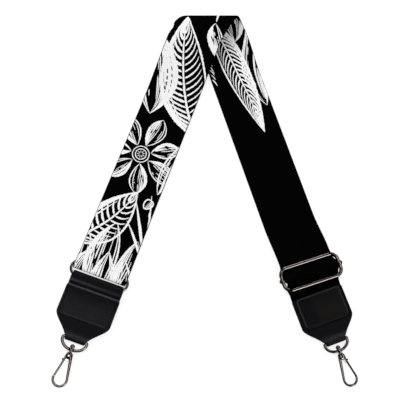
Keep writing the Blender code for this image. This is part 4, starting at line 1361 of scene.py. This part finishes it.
def evaluated_mesh(obj):
    bpy.context.view_layer.update()
    graph = bpy.context.evaluated_depsgraph_get()
    mesh = bpy.data.meshes.new_from_object(obj.evaluated_get(graph))
    work = bmesh.new()
    work.from_mesh(mesh)
    bmesh.ops.remove_doubles(work, verts=work.verts, dist=WELD_DISTANCE)
    work.to_mesh(mesh)
    work.free()
    return mesh


def placed(name, mesh, place, look=NICKEL):
    mesh.transform(place)
    mesh.materials.clear()
    mesh.materials.append(look)
    made = linked(name, mesh)
    shade_round(made)
    return made


def wire(name, points, diameter, place, closed=False, diameters=None):
    curve = bpy.data.curves.new(name, "CURVE")
    curve.dimensions = "3D"
    curve.bevel_depth = diameter / 2
    curve.bevel_resolution = WIRE_RESOLUTION
    curve.use_fill_caps = True
    spline = curve.splines.new("POLY")
    spline.points.add(len(points) - 1)
    for index, (slot, point) in enumerate(zip(spline.points, points)):
        slot.co = (*point, 1)
        slot.radius = diameters[index] / diameter if diameters else 1
    spline.use_cyclic_u = closed
    temporary = linked(name, curve)
    mesh = evaluated_mesh(temporary)
    bpy.data.objects.remove(temporary, do_unlink=True)
    return placed(name, mesh, place)


def from_work(name, work, place, look=NICKEL):
    mesh = bpy.data.meshes.new(name)
    work.to_mesh(mesh)
    work.free()
    return placed(name, mesh, place, look)


def cylinder(name, diameter, length, place, edge=0.0):
    work = bmesh.new()
    radius = diameter / 2
    bmesh.ops.create_cone(
        work, cap_ends=True, segments=ROUND_SIDES, radius1=radius, radius2=radius, depth=length
    )
    if edge:
        rims = [e for e in work.edges if abs(e.verts[0].co.z - e.verts[1].co.z) < length / 2]
        bmesh.ops.bevel(
            work, geom=rims, offset=edge, segments=BEVEL_SEGMENTS, affect="EDGES", profile=0.5
        )
    return from_work(name, work, place)


def ball(name, size, place, sides, squareness=1.0, top_width=None):
    """An ellipsoid, or a squarer body that narrows to a top width."""
    work = bmesh.new()
    bmesh.ops.create_uvsphere(work, u_segments=sides, v_segments=sides // 2, radius=1)
    for vert in work.verts:
        x, y, z = [math.copysign(abs(c) ** squareness, c) for c in vert.co]
        width = mid(size[0], size[0] if top_width is None else top_width, (y + 1) / 2)
        vert.co = (x * width / 2, y * size[1] / 2, z * size[2] / 2)
    return from_work(name, work, place)


def combine(body, others, operation):
    for other in others:
        modifier = body.modifiers.new(other.name, "BOOLEAN")
        modifier.operation = operation
        modifier.object = other
    mesh = evaluated_mesh(body)
    body.modifiers.clear()
    body.data = mesh
    for other in others:
        bpy.data.objects.remove(other, do_unlink=True)
    shade_round(body, METAL_SMOOTH_ANGLE)


def metal_piece(made, body, replaced):
    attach(made, body)
    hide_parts(replaced)


def wire_oval(length, height, corner, diameter, drop=0.0):
    across, up = (length - diameter) / 2 - corner, (height - diameter) / 2 - corner
    centres = ((across, up), (-across, up), (-across, -up), (across, -up))
    points = []
    for quarter, centre in enumerate(centres):
        points += arc(centre, corner, quarter * QUARTER, QUARTER, WIRE_ARC_STEPS)
    points = thinned(points, diameter * SAME_PLACE_SHARE)
    if math.dist(points[0], points[-1]) < diameter * SAME_PLACE_SHARE:
        points.pop()
    return [(x, y - drop, 0) for x, y in points]


def make_ring():
    points = wire_oval(RING_LENGTH, RING_HEIGHT, RING_PITCH / 2, RING_WIRE, RING_PITCH / 2)
    metal_piece(wire("ring", points, RING_WIRE, RING_FRAME, closed=True), "ring", "oval_ring")


def make_slider():
    points = wire_oval(SLIDER_LENGTH, SLIDER_HEIGHT, SLIDER_CORNER, SLIDER_WIRE)
    frame_wire = wire("slider_wire", points, SLIDER_WIRE, SLIDER_FRAME, closed=True)
    metal_piece(frame_wire, "slider_wire", "slider_frame")
    side_x = (SLIDER_LENGTH - SLIDER_WIRE) / 2
    across = SLIDER_FRAME @ turned(QUARTER, "Y")
    bar = cylinder("slider_centre_bar", SLIDER_WIRE, 2 * side_x, across)
    beads, bores = [], []
    for side in (-1, 1):
        out = SLIDER_FRAME @ moved(side * (side_x + BEAD_OUT), 0)
        beads.append(ball("bead", (BEAD_LENGTH, BEAD_WIDTH, BEAD_DEPTH), out, ROUND_SIDES))
        along = SLIDER_FRAME @ moved(side * side_x, 0) @ turned(QUARTER, "X")
        bores.append(cylinder("bore", SLIDER_WIRE + GAP, BEAD_WIDTH + OVERRUN, along))
    combine(bar, beads, "UNION")
    combine(bar, bores, "DIFFERENCE")
    metal_piece(bar, "slider", "slider_bar")


def make_d_eye(side, place):
    half = (D_WIDTH - D_WIRE) / 2
    points = arc((half - D_CORNER, -D_CORNER), D_CORNER, QUARTER, -QUARTER, CORNER_STEPS)
    for angle in spread(0, math.pi, WIRE_ARC_STEPS * 2)[1:-1]:
        drop = mid(D_CORNER, D_REACH, math.sin(angle))
        points.append((half * math.cos(angle), -drop))
    points += arc((D_CORNER - half, -D_CORNER), D_CORNER, math.pi, -QUARTER, CORNER_STEPS)
    eye = wire(f"{side}_eye", [(x, y, 0) for x, y in points], D_WIRE, place, closed=True)
    along = place @ moved(0, D_BAR_AT - BOSS_AT) @ turned(QUARTER, "X")
    combine(eye, [cylinder("boss", BOSS_DIAMETER, BOSS_LENGTH, along, BOSS_EDGE)], "UNION")
    bore = cylinder("bore", SHANK_DIAMETER + GAP, BOSS_LENGTH + OVERRUN, along)
    combine(eye, [bore], "DIFFERENCE")
    metal_piece(eye, f"{side}_eye", f"{side}_d_eye")


def make_rivet(side, place):
    radius = RIVET_HEAD / 2
    cut = radius * (2 * HEAD_FLAT - 1)
    base = BOSS_LENGTH + GAP
    start = math.asin(-cut / radius)
    profile = [
        (radius * math.cos(a), base + cut + radius * math.sin(a))
        for a in spread(QUARTER, start, RIVET_STEPS)
    ]
    shank = SHANK_DIAMETER / 2
    profile += [(shank, base), (shank, -SHANK_SINK), (0, -SHANK_SINK)]
    work = bmesh.new()
    points = [work.verts.new((max(x, 0), y, 0)) for x, y in profile]
    edges = [work.edges.new((a, b)) for a, b in zip(points, points[1:])]
    bmesh.ops.spin(
        work,
        geom=points + edges,
        cent=(0, 0, 0),
        axis=(0, 1, 0),
        angle=2 * math.pi,
        steps=ROUND_SIDES,
    )
    bmesh.ops.remove_doubles(work, verts=work.verts, dist=WELD_DISTANCE)
    bmesh.ops.recalc_face_normals(work, faces=work.faces)
    made = from_work(f"{side}_rivet", work, place)
    metal_piece(made, f"{side}_clasp", f"{side}_swivel_rivet")


def tangent_lean(start, centre, radius, sense):
    """The angle on a circle where a line from start touches it."""
    off_x, off_y = start.x - centre.x, start.y - centre.y
    return QUARTER - math.atan2(off_x, off_y) + sense * math.acos(radius / math.hypot(off_x, off_y))


def bow_path(flip):
    """The hook's wire: its spine, then round the bow to where the gate's tip meets it."""
    radius = (BOW_WIDTH - BOW_WIRE) / 2
    centre = Vector((0, -(HOOK_LENGTH - BOW_WIDTH / 2)))
    start = Vector((-SPINE_X, -SPINE_FROM))
    touch = tangent_lean(start, centre, radius, 1)
    tip = tangent_lean(Vector((PIN_X, -PIN_AT)), centre, radius, -1)
    bow_points = arc(centre, radius, touch, 2 * math.pi - (touch - tip), WIRE_ARC_STEPS * 3)
    line = [between(start, bow_points[0], share) for share in spread(0, 1, SPINE_STEPS)[:-1]]
    points = [Vector((flip * x, y, 0)) for x, y in line + bow_points]
    wires = spread(SPINE_WIRE, BOW_WIRE, SPINE_STEPS)[:-1] + [BOW_WIRE] * len(bow_points)
    return points, wires


def make_hook(side, flip, place):
    points, wires = bow_path(flip)
    hook = wire(f"{side}_hook_body", points, BOW_WIRE, place, diameters=wires)
    middle = place @ moved(0, -GAP - HOOK_HEAD_LENGTH / 2)
    size = (HOOK_HEAD_WIDTH, HOOK_HEAD_LENGTH, HOOK_HEAD_DEPTH)
    head = ball("head", size, middle, 2 * ROUND_SIDES, HEAD_SQUARENESS, HOOK_HEAD_TOP_WIDTH)
    combine(hook, [head], "UNION")
    sink = SHANK_SINK + 2 * GAP
    along = place @ moved(0, (OVERRUN - sink) / 2) @ turned(QUARTER, "X")
    slot_top = PIN_AT - EYE_DIAMETER / 2 - 2 * GAP
    slot_from = PIN_X - EYE_DIAMETER / 2 - 3 * GAP
    slot_to = HOOK_HEAD_WIDTH / 2 + OVERRUN
    slot_length = OVERRUN + HOOK_HEAD_LENGTH + GAP - slot_top
    work = bmesh.new()
    bmesh.ops.create_cube(work, size=1)
    bmesh.ops.scale(work, vec=(slot_to - slot_from, slot_length, SLOT_DEPTH), verts=work.verts)
    middle = place @ moved(flip * (slot_from + slot_to) / 2, -slot_top - slot_length / 2)
    pin_place = place @ moved(flip * PIN_X, -PIN_AT)
    cutters = [
        cylinder("shank_bore", SHANK_DIAMETER + GAP, sink + OVERRUN, along),
        from_work("slot", work, middle),
        cylinder("pin_bore", PIN_DIAMETER + GAP / 2, HOOK_HEAD_DEPTH + OVERRUN, pin_place),
    ]
    combine(hook, cutters, "DIFFERENCE")
    metal_piece(hook, f"{side}_clasp", f"{side}_hook")
    pin = cylinder(f"{side}_pin", PIN_DIAMETER, HOOK_HEAD_DEPTH, pin_place, PIN_EDGE)
    metal_piece(pin, f"{side}_clasp", f"{side}_gate_pin")
    return points[-1]


def make_spring(side, flip, pin_place, along, outward, swivel):
    """The leaf spring behind the gate."""
    leaf_x = flip * (PIN_X - EYE_DIAMETER / 2 - GAP - SPRING_LEAF / 2)
    foot = pin_place + along * SPRING_REACH - outward * (GATE_WIRE / 2 + GAP + SPRING_LEAF)
    root = PIN_AT - EYE_DIAMETER / 2
    outline = [(root, leaf_x), (HOOK_HEAD_LENGTH + GAP, leaf_x), (-foot.y, foot.x)]
    rows = leg_rows(swivel @ turned(QUARTER, "Y"), subdivided(outline, BEND_STEP))
    name = f"{side}_spring"
    spring = band(name, rows, SPRING_WIDTH / 2, SPRING_LEAF, SPRING_STEEL, SPRING_COLUMNS)
    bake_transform(spring)
    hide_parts(f"{side}_gate_spring")


def make_gate(side, flip, tip, swivel):
    pin_place = Vector((flip * PIN_X, -PIN_AT, 0))
    place = swivel @ moved(*pin_place)
    reach = tip - pin_place
    length = reach.length - GAP
    along = reach.normalized()
    start = EYE_DIAMETER / 2 - GATE_WIRE / 2
    points = [along * at for at in spread(start, length, GATE_STEPS)]
    gate = wire(f"{side}_gate_wire", points, GATE_WIRE, place)
    eye = cylinder("eye", EYE_DIAMETER, GATE_DEPTH, place, PIN_EDGE)
    outward = Vector((-along.y, along.x, 0)) * flip
    lug_place = place @ moved(*(along * (length * THUMB_AT_SHARE) + outward * (GATE_WIRE / 2)))
    lug = ball("lug", (THUMB_DIAMETER, THUMB_DIAMETER, GATE_DEPTH), lug_place, ROUND_SIDES)
    combine(gate, [eye, lug], "UNION")
    bore = cylinder("bore", PIN_DIAMETER + GAP / 2, GATE_DEPTH + OVERRUN, place)
    combine(gate, [bore], "DIFFERENCE")
    metal_piece(gate, f"{side}_gate_arm", f"{side}_gate")
    make_spring(side, flip, pin_place, along, outward, swivel)


def make_clasp(side, flip, tab):
    d_place = tab @ moved(0, -D_BAR_AT, NECK_Z)
    make_d_eye(side, d_place)
    swivel = d_place @ moved(0, D_BAR_AT - BOSS_END_AT)
    make_rivet(side, swivel)
    make_gate(side, flip, make_hook(side, flip, swivel), swivel)


# Stage


def make_floor():
    """It looks pale to the camera and in gloss, and takes the strap's shadow."""
    work = bmesh.new()
    bmesh.ops.create_grid(work, x_segments=1, y_segments=1, size=FLOOR_SIZE / 2)
    look = material("pale_floor", Base_Color=FLOOR_COLOUR, Roughness=FLOOR_ROUGHNESS)
    path = node(look, "ShaderNodeLightPath").outputs
    rays = [path[f"Is {kind} Ray"] for kind in ("Camera", "Glossy", "Transmission")]
    seen = maths(look, "MAXIMUM", *rays)
    dress(look, Specular_IOR_Level=0.0, Emission_Color=FLOOR_SEEN, Emission_Strength=seen)
    from_work("floor", work, Matrix.Identity(4), look)


def make_world():
    """White to the camera, and an even grey to dull surfaces. Gloss sees a dark studio with
    lamps before and behind the slider's bars, one to the right, and a small one overhead."""
    world = bpy.data.worlds.new("studio")
    bpy.context.scene.world = world
    world.use_nodes = True
    path = node(world, "ShaderNodeLightPath").outputs
    place = node(world, "ShaderNodeTexCoord").outputs["Generated"]
    x, y, z = node(world, "ShaderNodeSeparateXYZ", Vector=place).outputs
    cosine, sine = BAR_TURN

    def sum_of(a, a_share, b, b_share):
        shares = [maths(world, "MULTIPLY", *pair) for pair in ((a, a_share), (b, b_share))]
        return maths(world, "ADD", *shares)

    def window(value, dark_to, light_from, light_to, dark_from):
        fades = smooth(world, value, dark_to, light_from), smooth(world, value, dark_from, light_to)
        return maths(world, "MULTIPLY", *fades)

    back = maths(world, "SUBTRACT", y, BAR_LAMPS_BACK)
    along = sum_of(x, cosine, back, sine)
    across = maths(world, "ABSOLUTE", sum_of(x, -sine, back, cosine))
    windows = window(across, *BAR_LAMPS_OFF), window(along, *BAR_LAMPS_ALONG)
    bars = maths(world, "MULTIPLY", *windows)
    right = maths(world, "MULTIPLY", window(x, *SIDE_LAMP_X), SIDE_LAMP_SHARE)
    top = maths(world, "MULTIPLY", window(x, *TOP_LAMP_X), window(y, *TOP_LAMP_Y))
    light = maths(world, "MAXIMUM", bars, right, top)
    light = maths(world, "MULTIPLY", light, smooth(world, z, *LAMPS_FROM_Z))
    gloss = mixed(world, light, STUDIO_DARK, STUDIO_LIGHT)
    dull = mixed(world, path["Is Glossy Ray"], DULL_LIGHT, gloss)
    clear = maths(world, "MAXIMUM", path["Is Camera Ray"], path["Is Transmission Ray"])
    seen = mixed(world, clear, dull, WHITE)
    put(world, world.node_tree.nodes["Background"].inputs, Color=seen)


def make_lamp(name, place, size, watts):
    """A square lamp that faces the origin."""
    lamp = bpy.data.lights.new(name, "AREA")
    lamp.size = size
    lamp.energy = watts
    made = linked(name, lamp)
    made.location = place
    made.rotation_euler = (-place).to_track_quat("-Z", "Y").to_euler()


def make_camera():
    camera = bpy.data.cameras.new("camera")
    camera.lens = CAMERA_LENS
    camera.sensor_width = SENSOR_WIDTH
    made = linked("camera", camera)
    z, y, x = CAMERA_TURNS
    turns = turned(z, "Z") @ turned(y, "Y") @ turned(x, "X")
    made.matrix_world = moved(*(FOLD + CAMERA_PLACE)) @ turns
    bpy.context.scene.camera = made


STRAND = fixed_rows()
make_print(make_webbing(*STRAND), *STRAND)
make_tab(
    "left",
    LEFT_TAB,
    LEFT_TAB_TOP_AT,
    2 * (LOOP_LEATHER + GAP),
    left_relief,
    left_marks,
    RIDGE_AT + RIDGE_WIDTH * STITCH_BELOW_RIDGE_SHARE,
)
make_tab(
    "right",
    RIGHT_TAB,
    RIGHT_TAB_TOP_AT,
    GAP + WEBBING_THICKNESS,
    right_relief,
    right_marks,
    PANEL_FOOT_AT + STITCH_INSET / 2,
)
make_ring_leather()
make_ring()
make_slider()
make_clasp("left", -1, LEFT_TAB)
make_clasp("right", 1, RIGHT_TAB)
make_floor()
make_world()
make_lamp("key", KEY_PLACE, KEY_SIZE, KEY_WATTS)
make_lamp("fill", FILL_PLACE, FILL_SIZE, FILL_WATTS)
make_camera()
bpy.context.scene.view_settings.view_transform = "Standard"
